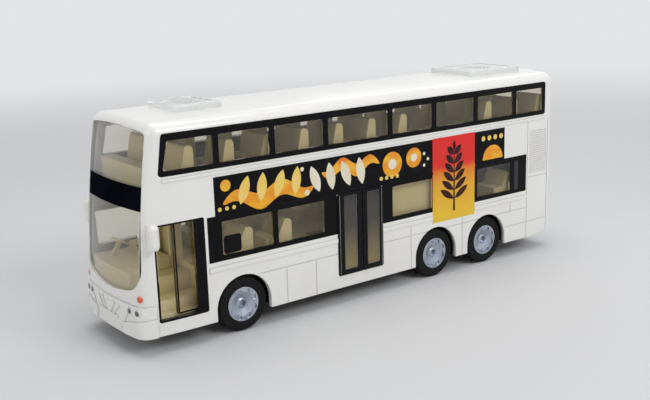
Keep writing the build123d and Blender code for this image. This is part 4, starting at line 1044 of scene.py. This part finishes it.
def makeTyre(x, side):
    t = tyre
    middle = (t["faceY"] + t["backY"]) / 2
    profile = tyreProfile(middle)
    shape = bmesh.new()
    turns = t["blocks"] * t["blockSteps"]
    rows = []
    for j in range(turns):
        angle = 2 * math.pi * j / turns
        row = []
        for radius, y in profile:
            cut = j % t["blockSteps"] == 0 and radius == t["radius"] and abs(y - middle) > t["plainHalf"]
            r = radius - (t["grooveDepth"] if cut else 0.0)
            row.append(shape.verts.new(((x + r * math.sin(angle)) * mm, side * y * mm,
                                        (t["radius"] + r * math.cos(angle)) * mm)))
        rows.append(row)
    for a, b in zip(rows, rows[1:] + rows[:1]):
        for i in range(len(profile)):
            k = (i + 1) % len(profile)
            shape.faces.new((a[i], a[k], b[k], b[i]))
    return shape


for axle, x in wheelX.items():
    for hand, side in sides:
        piece = addPiece(f"tyre_tread_{axle}_{hand}", makeTyre(x, side), paint["tyreRubber"],
                         rideOn=f"wheels_{axle}", smoothAngle=tyre["smooth"])
        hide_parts(f"tyre_{axle}_{hand}")
print("stage: tyres")


# Floor, lamps, surroundings and camera

def makeFloor():
    half = studio["floorHalf"] * mm
    shape = bmesh.new()
    corners = [shape.verts.new((u * half, v * half, 0.0)) for u, v in ((-1, -1), (1, -1), (1, 1), (-1, 1))]
    shape.faces.new(corners)
    mesh = bpy.data.meshes.new("floor")
    shape.to_mesh(mesh)
    shape.free()
    material, tree, shader = newMaterial("floorPaper")
    place = objectPlace(tree)
    noise = noiseAt(tree, place, studio["floorGrain"], effects["coarseDetail"])
    shader.inputs["Base Color"].default_value = linear(studio["floorColour"])
    shader.inputs["Roughness"].default_value = studio["floorRoughness"]
    bump(tree, shader, noise, studio["floorBump"])
    glow = addNode(tree, "ShaderNodeEmission")
    glow.inputs["Color"].default_value = linear(studio["farFloor"])
    fade = addNode(tree, "ShaderNodeMapRange", interpolation_type="SMOOTHSTEP")
    tree.links.new(vectorMaths(tree, "LENGTH", (place,), "Value"), fade.inputs["Value"])
    fade.inputs["From Min"].default_value, fade.inputs["From Max"].default_value = studio["floorFade"]
    mixOut(tree, fade.outputs["Result"], shader.outputs[0], glow.outputs[0])
    mesh.materials.append(material)
    floor = bpy.data.objects.new("floor", mesh)
    bpy.context.scene.collection.objects.link(floor)


def makeLamps():
    for name, place, aim, width, height, watts in studio["lamps"]:
        light = bpy.data.lights.new(name, "AREA")
        light.shape = "RECTANGLE"
        light.size, light.size_y = width * mm, height * mm
        light.energy = watts
        holder = bpy.data.objects.new(name, light)
        holder.location = Vector(place) * mm
        holder.rotation_euler = (Vector(aim) - Vector(place)).to_track_quat("-Z", "Y").to_euler()
        bpy.context.scene.collection.objects.link(holder)


def makeWorld():                 # even light, and the far floor's tone wherever the world is seen
    world = bpy.data.worlds.new("studioAir")
    world.use_nodes = True
    tree = world.node_tree
    tree.nodes.clear()
    ambient = addNode(tree, "ShaderNodeBackground")
    ambient.inputs["Color"].default_value = linear("#ffffff")
    ambient.inputs["Strength"].default_value = studio["ambient"]
    seen = addNode(tree, "ShaderNodeBackground")
    seen.inputs["Color"].default_value = linear(studio["farFloor"])
    path = addNode(tree, "ShaderNodeLightPath")
    shown = maths(tree, "MAXIMUM", path.outputs["Is Camera Ray"], path.outputs["Is Transmission Ray"])
    shown = maths(tree, "MAXIMUM", shown, path.outputs["Is Glossy Ray"])
    addNode(tree, "ShaderNodeOutputWorld")
    mixOut(tree, shown, ambient.outputs[0], seen.outputs[0])
    bpy.context.scene.world = world


def makeCamera():
    c = camera
    yaw, pitch, roll = (math.radians(c[key]) for key in ("yaw", "pitch", "roll"))
    ahead = Vector((math.cos(pitch) * math.cos(yaw), math.cos(pitch) * math.sin(yaw), math.sin(pitch)))
    right = ahead.cross(Vector((0, 0, 1))).normalized()
    down = ahead.cross(right)
    imageRight = math.cos(roll) * right + math.sin(roll) * down
    imageDown = math.cos(roll) * down - math.sin(roll) * right
    turn = Matrix((imageRight, -imageDown, -ahead)).transposed().to_4x4()
    lensData = bpy.data.cameras.new("photoCamera")
    lensData.sensor_width = c["sensor"]
    lensData.lens = c["focalPixels"] / c["framePixels"] * c["sensor"]
    lensData.clip_start = c["clipStart"] * mm
    holder = bpy.data.objects.new("photoCamera", lensData)
    holder.matrix_world = Matrix.Translation(Vector(c["place"]) * mm) @ turn
    bpy.context.scene.collection.objects.link(holder)
    bpy.context.scene.camera = holder


makeFloor()
makeLamps()
makeWorld()
makeCamera()
bpy.context.scene.view_settings.view_transform = "Standard"
print("stage: floor, lamps and camera")
